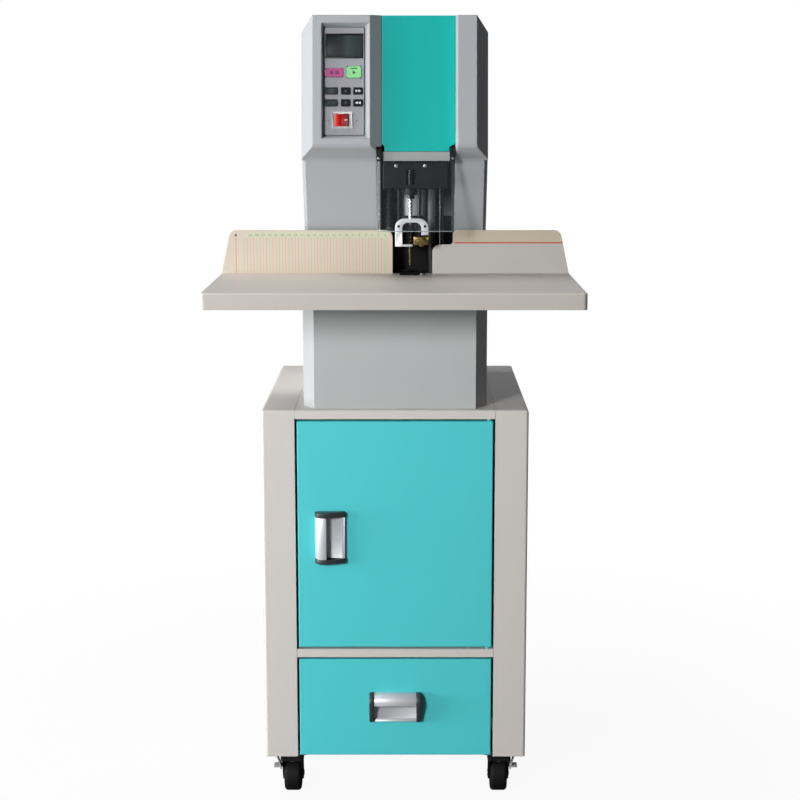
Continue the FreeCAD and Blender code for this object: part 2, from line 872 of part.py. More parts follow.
def column_edge(side, inset):
    # the narrow chamfer beside the lower face, which follows its slope
    half = housing_half_width
    outline = [(half - column_chamfer_width, second_fold_y), (half, second_fold_y + column_chamfer_depth),
               (half + overrun, second_fold_y + column_chamfer_depth), (half + overrun, second_fold_y - overrun),
               (half - column_chamfer_width, second_fold_y - overrun)]
    slope_y = column_y - second_fold_y
    slope_z = second_fold_z - column_face_z
    points = [Vector(side * (x - inset), y + inset, second_fold_z) for x, y in outline]
    slanted = prism(points, Vector(0, slope_y, -slope_z))
    points = [Vector(side * (x - inset), y + inset + slope_y, column_face_z) for x, y in outline]
    straight = prism(points, Vector(0, 0, table_bottom_z - column_face_z))
    return slanted.fuse(straight)


def top_edge(side, inset):
    half = housing_half_width - inset
    top = head_top_z - inset
    outline = [(side * (half - head_top_chamfer_width), top + overrun), (side * (half - head_top_chamfer_width), top),
               (side * half, top - head_top_chamfer_height), (side * (half + overrun), top - head_top_chamfer_height),
               (side * (half + overrun), top + overrun)]
    return prism_y(outline, fold_y - overrun, housing_rear_y + overrun)


def outer_chamfer(side):
    near_face = (side * housing_face_half_width, fold_y)
    near_side = (side * housing_half_width, fold_y + housing_chamfer_depth)
    return (near_side, near_face) if side < 0 else (near_face, near_side)


def recess_rectangle(out):
    share = (out + recess_depth) / recess_depth
    left = recess_floor_left + share * (recess_left - recess_floor_left)
    right = recess_floor_right + share * (recess_right - recess_floor_right)
    low = recess_floor_low + share * (recess_low - recess_floor_low)
    high = recess_floor_high + share * (recess_high - recess_floor_high)
    points = [on_face(left, low, out), on_face(right, low, out), on_face(right, high, out),
              on_face(left, high, out)]
    return Part.makePolygon(points + [points[0]])


def recess_block(grow):
    left = recess_left - grow
    right = recess_right + grow
    return face_box(left, right, recess_low - grow, recess_high + grow, -recess_depth - grow, 0)


# The strip behind the edge of the front cover, which the cover lies on
def cover_ledge(wall_x, inward):
    edge_x = wall_x + inward * ledge_width
    out = -(channel_recess + cover_sheet) * math.cos(lean_angle)
    return face_box(min(wall_x, edge_x), max(wall_x, edge_x), ledge_low, ledge_high, out - ledge_depth, out)


def head_shell_left():
    chamfers = [outer_chamfer(-1) + (table_bottom_z,),
                ((channel_left - channel_left_chamfer, fold_y), (channel_left, fold_y + channel_recess),
                 table_bottom_z)]
    outside = shell_solid(-housing_half_width, channel_left, 0, chamfers)
    outside = outside.cut(column_edge(-1, 0)).cut(top_edge(-1, 0))
    inside = shell_solid(-housing_half_width + housing_wall, channel_left - housing_wall, housing_wall, chamfers)
    inside = inside.cut(column_edge(-1, housing_wall)).cut(top_edge(-1, housing_wall))
    inside = inside.cut(box(window_left - housing_wall, channel_left, fold_y - overrun,
                            housing_rear_y + overrun, table_bottom_z - 2 * overrun,
                            window_top_z + housing_wall))
    shell = outside.cut(inside)
    pocket = Part.makeLoft([recess_rectangle(overrun), recess_rectangle(-recess_depth)], True, True)
    shell = shell.fuse(recess_block(recess_wall).common(outside)).cut(pocket)
    notch = box(window_left, channel_left + overrun, fold_y - overrun, housing_rear_y + overrun,
                table_bottom_z - overrun, window_top_z)
    shell = shell.cut(notch)
    shell = shell.cut(bezel_hole(recess_depth + recess_wall + overrun))
    return shell.fuse(cover_ledge(channel_left, 1)).cut(hinge_bore()).removeSplitter()


def head_shell_right():
    chamfers = [outer_chamfer(1) + (table_bottom_z,),
                ((channel_right, fold_y + channel_recess), (channel_right + channel_right_chamfer, fold_y),
                 table_bottom_z)]
    outside = shell_solid(channel_right, housing_half_width, 0, chamfers)
    outside = outside.cut(column_edge(1, 0)).cut(top_edge(1, 0))
    inside = shell_solid(channel_right + housing_wall, housing_half_width - housing_wall, housing_wall, chamfers)
    inside = inside.cut(column_edge(1, housing_wall)).cut(top_edge(1, housing_wall))
    shell = outside.cut(inside).fuse(cover_ledge(channel_right, -1))
    return shell.cut(hinge_bore()).removeSplitter()


def rear_cover():
    back = box(-housing_half_width, housing_half_width, housing_rear_y - housing_wall, housing_rear_y,
               table_bottom_z, head_top_z)
    left = channel_left + cover_gap
    right = channel_right - cover_gap
    roof_front = fold_y + head_lean + cover_top_depth + cover_gap
    roof = box(left, right, roof_front, housing_rear_y, head_top_z - housing_wall, head_top_z)
    cover = back.fuse(roof).cut(top_edge(-1, 0)).cut(top_edge(1, 0)).removeSplitter()
    slots = []
    for side in (-1, 1):
        for index in range(vent_count):
            low = table_top_z + vent_first_rise + index * vent_pitch
            centre = side * vent_centre
            slots.append(box(centre - vent_length / 2, centre + vent_length / 2, housing_rear_y - housing_wall - overrun,
                             housing_rear_y + overrun, low, low + vent_height))
    return cover.cut(slots)


def front_cover():
    left = channel_left + cover_gap
    right = channel_right - cover_gap
    slope = math.tan(lean_angle)

    def front_y(z):
        return fold_y + channel_recess + (z - fold_z) * slope

    outline = [(front_y(cover_bottom_z), cover_bottom_z), (front_y(head_top_z), head_top_z),
               (fold_y + head_lean + cover_top_depth, head_top_z),
               (fold_y + head_lean + cover_top_depth, head_top_z - cover_sheet),
               (front_y(head_top_z - cover_sheet) + cover_sheet, head_top_z - cover_sheet),
               (front_y(cover_bottom_z) + cover_sheet, cover_bottom_z)]
    cover = prism_x(outline, left, right)
    cover = rounded(cover, cover_sheet,
                    lambda edge: near(middle(edge).y, front_y(head_top_z)) and near(middle(edge).z, head_top_z))

    def corner(edge_x, inward, width):
        low, high, past = cover_bottom_z, cover_bottom_z + cover_corner_height, edge_x - inward * overrun
        inner, bend = edge_x + inward * width, low + cover_corner_upright
        return prism_y([(inner, low - overrun), (inner, bend), (edge_x, high), (past, high), (past, low - overrun)],
                       fold_y, fold_y + 2 * channel_recess)

    return cover.cut([corner(left, 1, cover_left_corner), corner(right, -1, cover_right_corner)])


# Crossbar with its flange, hinge blocks and the clear shield
def crossbar_front_y():
    return fold_y + channel_recess - crossbar_setback


def front_crossbar():
    front = crossbar_front_y()
    top = cover_bottom_z - crossbar_gap
    bar = box(crossbar_left, crossbar_right, front, front + crossbar_sheet, top - crossbar_height, top)
    flange = box(crossbar_left, crossbar_right, front, front + crossbar_flange, top - crossbar_sheet, top)
    wing = box(window_left, channel_right, front + crossbar_wing_back,
               front + crossbar_flange, top - crossbar_sheet, top)
    return bar.fuse([flange, wing]).removeSplitter()


def shield_top_z():
    return cover_bottom_z - 2 * crossbar_gap - crossbar_height


def shield_hinges():
    low = shield_top_z()
    blocks = []
    for wall_x, bar_x, outward in ((window_left, crossbar_left, -1), (channel_right, crossbar_right, 1)):
        outer = wall_x - outward * hinge_side_gap
        inner = bar_x + outward * hinge_bar_gap
        low_x, high_x = min(outer, inner), max(outer, inner)
        pin_end = wall_x + outward * hinge_pin_reach
        boss = rod_x(low_x, high_x, hinge_y, hinge_z, hinge_boss_radius)
        arm = box(low_x, high_x, hinge_y - hinge_arm_front, hinge_y + hinge_arm_back, low, hinge_z)
        arm = arm.cut(box(low_x - overrun, high_x + overrun, hinge_y - hinge_arm_front - overrun,
                          hinge_y - hinge_boss_radius, hinge_z - hinge_arm_back, hinge_z + overrun))
        pin = rod_x(min(inner, pin_end), max(inner, pin_end), hinge_y, hinge_z, hinge_pin_radius)
        blocks.append(boss.fuse([arm, pin]).removeSplitter())
    return blocks


def hinge_bore():
    return rod_x(window_left - housing_wall - overrun, channel_right + housing_wall + overrun, hinge_y, hinge_z,
                 hinge_pin_radius + pivot_clearance)


def clear_shield():
    left = window_left + shield_edge_gap
    right = channel_right - shield_edge_gap
    front = hinge_y - hinge_arm_front
    back = front + shield_return
    top = shield_top_z()
    pane = box(left, right, front, back, shield_bottom_z, top)
    pane = rounded(pane, shield_corner_radius, lambda edge: upright(edge) and near(middle(edge).y, front))
    inside = box(left + shield_sheet, right - shield_sheet, front + shield_sheet, back + overrun,
                 shield_bottom_z - overrun, top + overrun)
    inside = rounded(inside, shield_corner_radius - shield_sheet,
                     lambda edge: upright(edge) and near(middle(edge).y, front + shield_sheet))
    return pane.cut(inside)


# Control panel with its display, keys and switch
def panel_front():
    return panel_thickness - recess_depth


def key_spans():
    spans = {"key_red": (red_key_left, red_key_right, red_key_low, red_key_high),
             "key_green": (green_key_left, green_key_right, green_key_low, green_key_high)}
    places = [(row, column) for row in small_key_rows for column in small_key_columns]
    for name, (row, column) in zip(small_key_names, places):
        low = row - small_key_height / 2
        spans[name] = (column[0], column[1], low, low + small_key_height)
    return spans


def bezel_hole(depth):
    half_x = bezel_width / 2 - bezel_lip + panel_gap
    half_z = bezel_height / 2 - bezel_lip + panel_gap
    centre = bezel_centre_rise
    return face_box(bezel_centre_x - half_x, bezel_centre_x + half_x, centre - half_z, centre + half_z,
                    -depth, overrun)


def control_panel():
    gap = panel_gap
    plate = face_box(recess_floor_left + gap, recess_floor_right - gap, recess_floor_low + gap,
                     recess_floor_high - gap, -recess_depth, panel_front())
    holes = [face_box(display_left, display_right, display_low, display_high, -recess_depth - overrun, overrun)]
    for left, right, low, high in key_spans().values():
        holes.append(face_box(left - key_gap, right + key_gap, low - key_gap, high + key_gap,
                              -recess_depth - overrun, overrun))
    holes.append(bezel_hole(recess_depth + overrun))
    return plate.cut(holes)


def display():
    gap = panel_gap
    return face_box(display_left + gap, display_right - gap, display_low + gap, display_high - gap,
                    -recess_depth, panel_front() + display_proud)


def key(span):
    left, right, low, high = span
    shape = face_box(left, right, low, high, panel_front() - key_root, panel_front() + key_proud)
    top = on_face(left, low, panel_front() + key_proud)

    def on_top(edge):
        spot = middle(edge)
        out = -(spot.y - fold_y) * math.cos(lean_angle) + (spot.z - fold_z) * math.sin(lean_angle)
        reach = -(top.y - fold_y) * math.cos(lean_angle) + (top.z - fold_z) * math.sin(lean_angle)
        return near(out, reach)

    return rounded(shape, key_edge_radius, on_top)


def rocker_bezel():
    front = panel_front()
    centre = bezel_centre_rise
    half_x = bezel_width / 2
    half_z = bezel_height / 2
    flange = face_box(bezel_centre_x - half_x, bezel_centre_x + half_x, centre - half_z, centre + half_z,
                      front, front + bezel_proud)
    body = face_box(bezel_centre_x - half_x + bezel_lip, bezel_centre_x + half_x - bezel_lip,
                    centre - half_z + bezel_lip, centre + half_z - bezel_lip, front - bezel_back, front)
    mouth_x = rocker_radius + rocker_gap
    mouth_z = rocker_half_height + rocker_gap
    mouth = face_box(bezel_centre_x - mouth_x, bezel_centre_x + mouth_x, centre - mouth_z, centre + mouth_z,
                     front - bezel_back + bezel_wall, front + bezel_proud + overrun)
    return flange.fuse(body).cut(mouth).removeSplitter()


def rocker():
    front = panel_front() + bezel_proud
    centre = bezel_centre_rise
    pivot = front - rocker_pivot_drop
    drum = Part.makeCylinder(rocker_radius, 2 * rocker_half_height,
                             on_face(bezel_centre_x, centre - rocker_half_height, pivot),
                             Vector(0, math.sin(lean_angle), math.cos(lean_angle)))
    crest = rocker_crest_share * rocker_pivot_drop
    valley = rocker_valley_share * rocker_pivot_drop
    corners = [(-rocker_radius, pivot - rocker_back), (rocker_radius, pivot - rocker_back),
               (rocker_radius, front + crest), (0, front - valley), (-rocker_radius, front)]
    points = [on_face(bezel_centre_x + x, centre - rocker_half_height, out) for x, out in corners]
    height = 2 * rocker_half_height
    sweep = Vector(0, height * math.sin(lean_angle), height * math.cos(lean_angle))
    return drum.common(prism(points, sweep))


# Table and fences
def work_table():
    half = table_width / 2
    notch_half = housing_half_width + table_notch_gap
    table = box(-half, half, table_front_y, column_y + table_wing_back, table_bottom_z, table_top_z)
    table = rounded(table, table_corner_radius, upright)
    table = rounded(table, table_edge_radius, lambda edge: near(middle(edge).z, table_top_z)
                    and middle(edge).y < column_y + table_wing_back - overrun)
    notch = box(-notch_half, notch_half, column_y - table_notch_gap, column_y + table_wing_back + overrun,
                table_bottom_z - overrun, table_top_z + overrun)
    die_notch = box(die_notch_left, die_notch_right, column_y - table_notch_gap - die_notch_depth, column_y,
                    table_bottom_z - overrun, table_top_z + overrun)
    return table.cut(notch).cut(die_notch)


def fence_left():
    start = -table_width / 2 + fence_inset
    top = table_top_z + fence_height
    outline = [(start, table_top_z), (fence_left_end, table_top_z), (fence_left_end, top), (start + fence_slant, top)]
    plate = prism_y(outline, fence_y, fence_y + fence_sheet)
    plate = rounded(plate, fence_corner_radius, lambda edge: edge.BoundBox.YLength > fence_sheet / 2
                    and near(middle(edge).z, top))
    flange_end = -housing_half_width - table_notch_gap
    flange = box(start, flange_end, fence_y, fence_y + fence_flange, table_top_z, table_top_z + fence_sheet)
    return plate.fuse(flange).removeSplitter()


def fence_right():
    end = table_width / 2 - fence_inset
    top = table_top_z + fence_height
    low_top = table_top_z + fence_low_height
    outline = [(fence_right_start, table_top_z), (end, table_top_z), (end - fence_slant, top),
               (fence_right_step, top), (fence_right_step, low_top), (fence_right_start, low_top)]
    plate = prism_y(outline, fence_y, fence_y + fence_sheet)

    def across(edge):
        return edge.BoundBox.YLength > fence_sheet / 2 and middle(edge).z > table_top_z + overrun

    plate = rounded(plate, fence_step_radius, lambda edge: across(edge) and near(middle(edge).x, fence_right_step))
    plate = rounded(plate, fence_corner_radius, lambda edge: across(edge)
                    and (near(middle(edge).x, fence_right_start) or near(middle(edge).x, end - fence_slant)))
    flange_start = housing_half_width + table_notch_gap
    flange = box(flange_start, end, fence_y, fence_y + fence_flange, table_top_z, table_top_z + fence_sheet)
    return plate.fuse(flange).removeSplitter()


# Mechanism
def mechanism_frame():
    gap = frame_gap
    left = frame_left
    right = frame_right
    back = frame_back_y
    base = box(left, right, column_y + gap, back + frame_plate, table_bottom_z, table_top_z)
    tongue = box(die_notch_left + gap, die_notch_right - gap,
                 column_y - table_notch_gap - die_notch_depth + gap, column_y + gap, table_bottom_z, table_top_z)
    base = base.fuse(tongue).removeSplitter()
    spine = box(left, right, back, back + frame_plate, table_top_z, frame_top_z - frame_top_plate)
    roof = box(left, right, frame_top_front, back + frame_plate, frame_top_z - frame_top_plate, frame_top_z)
    ribs = []
    for x in (left, right - frame_rib):
        ribs.append(prism_x([(back, table_top_z), (back - frame_rib_depth, table_top_z),
                             (back, table_top_z + 2 * frame_rib_depth)], x, x + frame_rib))
        ribs.append(prism_x([(back, frame_top_z - frame_top_plate),
                             (back - frame_rib_depth, frame_top_z - frame_top_plate),
                             (back, frame_top_z - frame_top_plate - 2 * frame_rib_depth)], x, x + frame_rib))
    for x in guide_rod_xs:
        base = base.cut(rod_z(x, guide_rod_y, table_top_z - guide_rod_seat, table_top_z + overrun,
                              guide_rod_radius))
        roof = roof.cut(rod_z(x, guide_rod_y, frame_top_z - frame_top_plate - overrun,
                              frame_top_z - frame_top_plate + guide_rod_seat, guide_rod_radius))
    roof = roof.cut(rod_z(screw_x, guide_rod_y, frame_top_z - frame_top_plate - overrun, frame_top_z + overrun,
                          screw_radius + running_clearance))
    base = base.cut(rod_z(drill_x, drill_y, table_top_z - die_pad_depth, table_top_z + overrun, die_pad_radius))
    base = base.cut(rod_z(die_bush_x, drill_y, table_top_z - die_pad_depth, table_top_z + overrun,
                          die_bush_radius))
    rods = [rod_z(x, guide_rod_y, table_top_z - guide_rod_seat, frame_top_z - frame_top_plate + guide_rod_seat,
                  guide_rod_radius) for x in guide_rod_xs]
    return [base, spine, roof] + ribs + rods


def table_dies():
    pad = rod_z(drill_x, drill_y, table_top_z - die_pad_depth, table_top_z, die_pad_radius)
    bush = rod_z(die_bush_x, drill_y, table_top_z - die_pad_depth, table_top_z + die_bush_proud, die_bush_radius)
    return [pad, bush]


def arm_top_z():
    return carriage_top_z - carriage_arm_drop


def pulley_low_z():
    return carriage_top_z + pulley_rise


def drill_carriage():
    block = box(carriage_left, carriage_right, carriage_front_y, carriage_back_y, carriage_z, carriage_top_z)
    block = rounded(block, carriage_edge_radius, lambda edge: near(middle(edge).y, carriage_front_y))
    arm_top = arm_top_z()
    arm = box(drill_x - carriage_arm_half_width, drill_x + carriage_arm_half_width, carriage_back_y,
              motor_y + carriage_arm_half_width, arm_top - carriage_arm_height, arm_top)
    boss = rod_z(drill_x, drill_y, carriage_z - carriage_boss_height, carriage_z, carriage_boss_radius)
    carriage = block.fuse([arm, boss]).removeSplitter()
    low = carriage_z - carriage_boss_height - overrun
    high = carriage_top_z + overrun
    bores = [(drill_x, drill_y, spindle_radius), (screw_x, guide_rod_y, screw_radius),
             (foot_pin_left, drill_y, foot_pin_radius), (foot_pin_right, drill_y, foot_pin_radius),
             (ram_x, drill_y, ram_radius), (drill_x, motor_y, motor_shaft_radius)]
    bores += [(x, guide_rod_y, guide_rod_radius) for x in guide_rod_xs]
    for x, y, radius in bores:
        carriage = carriage.cut(rod_z(x, y, low, high, radius + running_clearance))
    window = box(drill_x - carriage_window_half_width, drill_x + carriage_window_half_width,
                 carriage_front_y - overrun, drill_y, carriage_z + carriage_window_low,
                 carriage_z + carriage_window_high)
    return carriage.cut(window)


def dust_sleeve():
    x = guide_rod_xs[0]
    low = carriage_z - sleeve_height
    pitch = sleeve_height / sleeve_rib_count
    sleeve = rod_z(x, guide_rod_y, low, carriage_z, sleeve_root_radius)
    ribs = [rod_z(x, guide_rod_y, low + index * pitch, low + (index + sleeve_rib_share) * pitch, sleeve_radius)
            for index in range(sleeve_rib_count)]
    sleeve = sleeve.fuse(ribs).removeSplitter()
    return sleeve.cut(rod_z(x, guide_rod_y, low - overrun, carriage_z + overrun, guide_rod_radius + sleeve_clearance))


def pulley(x, y):
    low = pulley_low_z()
    core = rod_z(x, y, low, low + pulley_height, pulley_radius)
    rims = [rod_z(x, y, low - pulley_flange_height, low, pulley_flange_radius),
            rod_z(x, y, low + pulley_height, low + pulley_height + pulley_flange_height, pulley_flange_radius)]
    return core.fuse(rims)


def drill_spindle():
    nose_low = carriage_z - carriage_boss_height - spindle_nose_height
    body = rod_z(drill_x, drill_y, carriage_z - carriage_boss_height, carriage_top_z, spindle_radius)
    nose = rod_z(drill_x, drill_y, nose_low, carriage_z - carriage_boss_height, spindle_nose_radius)
    neck = rod_z(drill_x, drill_y, carriage_top_z, pulley_low_z(), spindle_neck_radius)
    spindle = body.fuse([nose, neck, pulley(drill_x, drill_y)]).removeSplitter()
    return spindle.cut(rod_z(drill_x, drill_y, nose_low - overrun, table_top_z + drill_top_rise + overrun,
                             drill_radius))


def hollow_drill():
    low = table_top_z + drill_tip_height
    high = table_top_z + drill_top_rise + overrun
    drill = rod_z(drill_x, drill_y, low, high, drill_radius)
    drill = drill.cut(rod_z(drill_x, drill_y, low - overrun, high - overrun, drill_bore_radius))
    edge = [edge for edge in drill.Edges if near(middle(edge).z, low) and edge.BoundBox.XLength > 2 * drill_bore_radius
            + overrun / 100]
    return drill.makeChamfer((drill_radius - drill_bore_radius) / 2, edge)


def drill_motor():
    high = arm_top_z() - carriage_arm_height
    can = rod_z(drill_x, motor_y, high - motor_height, high, motor_radius)
    can = rounded(can, carriage_edge_radius, lambda edge: near(middle(edge).z, high - motor_height)
                  and len(edge.Vertexes) == 1)
    return can


def motor_pulley():
    shaft = rod_z(drill_x, motor_y, arm_top_z() - carriage_arm_height + slide_clearance, pulley_low_z(),
                  motor_shaft_radius)
    return pulley(drill_x, motor_y).fuse(shaft).removeSplitter()


def drive_belt():
    low = pulley_low_z() + slide_clearance
    high = pulley_low_z() + pulley_height - slide_clearance

    def loop(radius):
        ends = [rod_z(drill_x, y, low, high, radius) for y in (drill_y, motor_y)]
        run = box(drill_x - radius, drill_x + radius, drill_y, motor_y, low, high)
        return run.fuse(ends).removeSplitter()

    inner = pulley_radius + belt_clearance
    return loop(inner + belt_thickness).cut(loop(inner))


def feed_screw():
    low = table_top_z + screw_foot_gap
    screw = rod_z(screw_x, guide_rod_y, low, frame_top_z, screw_radius)
    collar_high = frame_top_z - frame_top_plate - slide_clearance
    collar = rod_z(screw_x, guide_rod_y, collar_high - screw_collar_height, collar_high, screw_collar_radius)
    return screw.fuse(collar).removeSplitter()


def feed_motor():
    half = feed_motor_width / 2
    body = box(screw_x - half, screw_x + half, guide_rod_y - half, guide_rod_y + half, frame_top_z,
               frame_top_z + feed_motor_height)
    return rounded(body, feed_motor_edge, upright)


def presser_foot():
    low = table_top_z + foot_lift
    high = low + foot_height
    front = drill_y - foot_depth / 2
    back = drill_y + foot_depth / 2
    arch = box(foot_left, foot_right, front, back, low, high)
    arch = rounded(arch, foot_shoulder_radius, lambda edge: edge.BoundBox.YLength > foot_depth / 2
                   and near(middle(edge).z, high))
    inner_left = foot_left + foot_leg_width
    inner_right = foot_right - foot_leg_width
    hollow = box(inner_left, inner_right, front - overrun, back + overrun, low - overrun, high - foot_crown)
    hollow = rounded(hollow, foot_inner_radius, lambda edge: edge.BoundBox.YLength > foot_depth / 2
                     and near(middle(edge).z, high - foot_crown))
    arch = arch.cut(hollow)
    arch = arch.cut(box(inner_right - overrun, foot_right + overrun, front - overrun, back + overrun,
                        low - overrun, low + foot_short_leg))
    pad = box(foot_left, foot_left + foot_pad_reach, front, back, low, low + foot_pad_height)
    pins = [rod_z(x, drill_y, high - foot_shoulder_radius, high - foot_shoulder_radius + foot_pin_height,
                  foot_pin_radius) for x in (foot_pin_left, foot_pin_right)]
    foot = arch.fuse([pad] + pins).removeSplitter()
    foot = foot.cut(rod_z(drill_x, drill_y, low - overrun, high + overrun, drill_radius + foot_hole_clearance))
    return foot.cut(rod_z(ram_x, drill_y, high - foot_shoulder_radius - overrun, high + overrun,
                          ram_radius + foot_hole_clearance))


def rivet_head():
    low = table_top_z + rivet_lift
    high = low + rivet_height
    block = box(rivet_left, rivet_right, drill_y - rivet_depth / 2, drill_y + rivet_depth / 2,
                low + rivet_nose_height, high)
    block = rounded(block, carriage_edge_radius, upright)
    nose = rod_z(die_bush_x, drill_y, low, low + rivet_nose_height, rivet_nose_radius)
    ram = rod_z(ram_x, drill_y, high, high + ram_height - rivet_height, ram_radius)
    return block.fuse([nose, ram]).removeSplitter()


def circuit_board():
    front = frame_back_y + frame_plate + board_standoff
    low = table_top_z + board_low
    high = table_top_z + board_high
    board = box(board_left, board_right, front, front + board_thickness, low, high)
    pieces = []
    for x in (board_left + board_standoff_inset, board_right - board_standoff_inset):
        for z in (low + board_standoff_inset, high - board_standoff_inset):
            pieces.append(rod_y(x, front - board_standoff, front, z, board_standoff_radius))
    width = board_right - board_left
    height = high - low
    back = front + board_thickness
    for left_share, right_share, low_share, high_share in board_chip_shares:
        pieces.append(box(board_left + left_share * width, board_left + right_share * width, back,
                          back + board_chip_height, low + low_share * height, low + high_share * height))
    return board.fuse(pieces).removeSplitter()


def power_inlet():
    z = cabinet_top_z + inlet_rise
    back = housing_rear_y + inlet_flange
    flange = box(inlet_x - inlet_width / 2, inlet_x + inlet_width / 2, housing_rear_y, back,
                 z - inlet_height / 2, z + inlet_height / 2)
    flange = rounded(flange, panel_edge_radius, lambda edge: edge.BoundBox.XLength + edge.BoundBox.ZLength
                     < overrun / 100)
    body = box(inlet_x - inlet_body_width / 2, inlet_x + inlet_body_width / 2, back - inlet_body_depth,
               housing_rear_y, z - inlet_body_height / 2, z + inlet_body_height / 2)
    inner_x = inlet_body_width / 2 - inlet_socket_wall
    inner_z = inlet_body_height / 2 - inlet_socket_wall
    socket = box(inlet_x - inner_x, inlet_x + inner_x, back - inlet_socket_depth, back + overrun,
                 z - inner_z, z + inner_z)
    inlet = flange.fuse(body).cut(socket)
    floor_y = back - inlet_socket_depth
    spread = inlet_body_width / 4
    pins = [rod_y(inlet_x + step * spread, floor_y - inlet_pin_radius, floor_y + inlet_pin_length, z,
                  inlet_pin_radius) for step in (-1, 0, 1)]
    return inlet.fuse(pins).removeSplitter()


def save_casters():
    front_y = cabinet_front_y + caster_front_inset
    back_y = rear_y - caster_rear_inset
    side_x = caster_spacing / 2
    corners = {"front_left": (-side_x, front_y, -1), "front_right": (side_x, front_y, 1),
               "rear_left": (-side_x, back_y, 0), "rear_right": (side_x, back_y, 0)}
    save("caster_mounts", *[caster_mount(x, y) for x, y, lever in corners.values()])
    for corner, (x, y, lever) in corners.items():
        save("caster_fork_" + corner, *caster_fork(x, y, lever))
        save("caster_wheel_" + corner, caster_wheel(x, y))
        if lever:
            save("brake_lever_" + corner, brake_lever(x, y, lever))


def save_all():
    left_panel = side_panel()
    runner = drawer_runner()
    save("side_panel_left", left_panel)
    save("side_panel_right", mirrored(left_panel))
    save("top_panel", top_panel())
    save("rear_panel", rear_panel())
    save("floor_panel", floor_panel())
    save("middle_shelf", middle_shelf())
    save("door_panel", door_panel())
    save("door_handle", *door_handle())
    save("drawer_front", folded_front(drawer_low_z, drawer_high_z))
    save("drawer_box", drawer_box())
    save("drawer_handle", *drawer_handle())
    save("drawer_runners", runner, mirrored(runner))
    save_casters()
    save("base_housing", base_housing())
    save("head_shell_left", head_shell_left())
    save("head_shell_right", head_shell_right())
    save("rear_cover", rear_cover())
    save("front_cover", front_cover())
    save("front_crossbar", front_crossbar())
    save("shield_hinges", *shield_hinges())
    save("clear_shield", clear_shield())
    save("control_panel", control_panel())
    save("display", display())
    for name, span in key_spans().items():
        save(name, key(span))
    save("rocker_bezel", rocker_bezel())
    save("power_rocker", rocker())
    save("work_table", work_table())
    save("fence_left", fence_left())
    save("fence_right", fence_right())
    save("mechanism_frame", *mechanism_frame())
    save("table_dies", *table_dies())
    save("drill_carriage", drill_carriage(), dust_sleeve())
    save("drill_spindle", drill_spindle())
    save("hollow_drill", hollow_drill())
    save("drill_motor", drill_motor())
    save("motor_pulley", motor_pulley())
    save("drive_belt", drive_belt())
    save("feed_screw", feed_screw())
    save("feed_motor", feed_motor())
    save("presser_foot", presser_foot())
    save("rivet_head", rivet_head())
    save("circuit_board", circuit_board())
    save("power_inlet", power_inlet())


save_all()
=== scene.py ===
from math import hypot, pi, radians

import bpy
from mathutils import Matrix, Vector


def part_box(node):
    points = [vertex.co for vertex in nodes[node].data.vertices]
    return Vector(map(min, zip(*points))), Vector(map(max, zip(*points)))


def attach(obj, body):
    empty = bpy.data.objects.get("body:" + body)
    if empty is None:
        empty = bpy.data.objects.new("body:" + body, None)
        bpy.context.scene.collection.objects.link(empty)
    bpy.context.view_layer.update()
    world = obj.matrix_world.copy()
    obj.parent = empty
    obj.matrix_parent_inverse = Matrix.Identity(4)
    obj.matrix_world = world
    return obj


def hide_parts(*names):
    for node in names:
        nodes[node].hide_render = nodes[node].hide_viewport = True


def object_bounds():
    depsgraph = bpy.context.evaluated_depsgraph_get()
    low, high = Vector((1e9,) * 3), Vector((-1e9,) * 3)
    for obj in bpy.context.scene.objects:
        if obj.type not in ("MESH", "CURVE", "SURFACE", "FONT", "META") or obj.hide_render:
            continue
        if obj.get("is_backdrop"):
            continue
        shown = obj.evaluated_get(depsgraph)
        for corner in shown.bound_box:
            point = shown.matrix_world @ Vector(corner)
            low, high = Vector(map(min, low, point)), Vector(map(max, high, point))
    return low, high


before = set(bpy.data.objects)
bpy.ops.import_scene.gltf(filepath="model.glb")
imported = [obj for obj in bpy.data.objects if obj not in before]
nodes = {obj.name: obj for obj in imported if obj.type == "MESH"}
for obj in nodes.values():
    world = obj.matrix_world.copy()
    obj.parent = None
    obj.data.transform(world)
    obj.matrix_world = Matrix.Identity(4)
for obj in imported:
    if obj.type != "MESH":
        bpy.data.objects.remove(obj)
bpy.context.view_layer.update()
mm = 0.001  # lengths below are in millimetres
near = 0.1  # a point this close to a plane counts as on it
drillX = 24  # the drill's axis, from the middle of the machine
corners = ("front_left", "front_right", "rear_left", "rear_right")
print("frame loaded")


def metres(lengths):
    return [length * mm for length in lengths]


# selecting and shaping, as by hand; in the tests p, a and b are points in millimetres, c is a face's
# centre and n its normal

def restAll():
    if bpy.context.object and bpy.context.object.mode != "OBJECT":
        bpy.ops.object.mode_set(mode="OBJECT")
    bpy.ops.object.select_all(action="DESELECT")


def takeUp(piece):
    restAll()
    piece.select_set(True)
    bpy.context.view_layer.objects.active = piece


def settle(piece):
    takeUp(piece)
    bpy.ops.object.transform_apply(location=True, rotation=True, scale=True)
    return piece


def block(name, low, high):
    restAll()
    middle = [(a + b) / 2 * mm for a, b in zip(low, high)]
    bpy.ops.mesh.primitive_cube_add(size=1, location=middle)
    piece = bpy.context.object
    piece.name = name
    piece.scale = [(b - a) * mm for a, b in zip(low, high)]
    return settle(piece)


def slab(name, s):
    return block(name, (s["x"][0], s["front"], s["z"][0]), (s["x"][1], s["back"], s["z"][1]))


def drum(name, centre, radius, depth, axis, sides=48):
    restAll()
    turn = {"x": (0, pi / 2, 0), "y": (pi / 2, 0, 0), "z": (0, 0, 0)}[axis]
    bpy.ops.mesh.primitive_cylinder_add(vertices=sides, radius=radius * mm, depth=depth * mm,
                                        location=metres(centre), rotation=turn)
    piece = bpy.context.object
    piece.name = name
    return settle(piece)


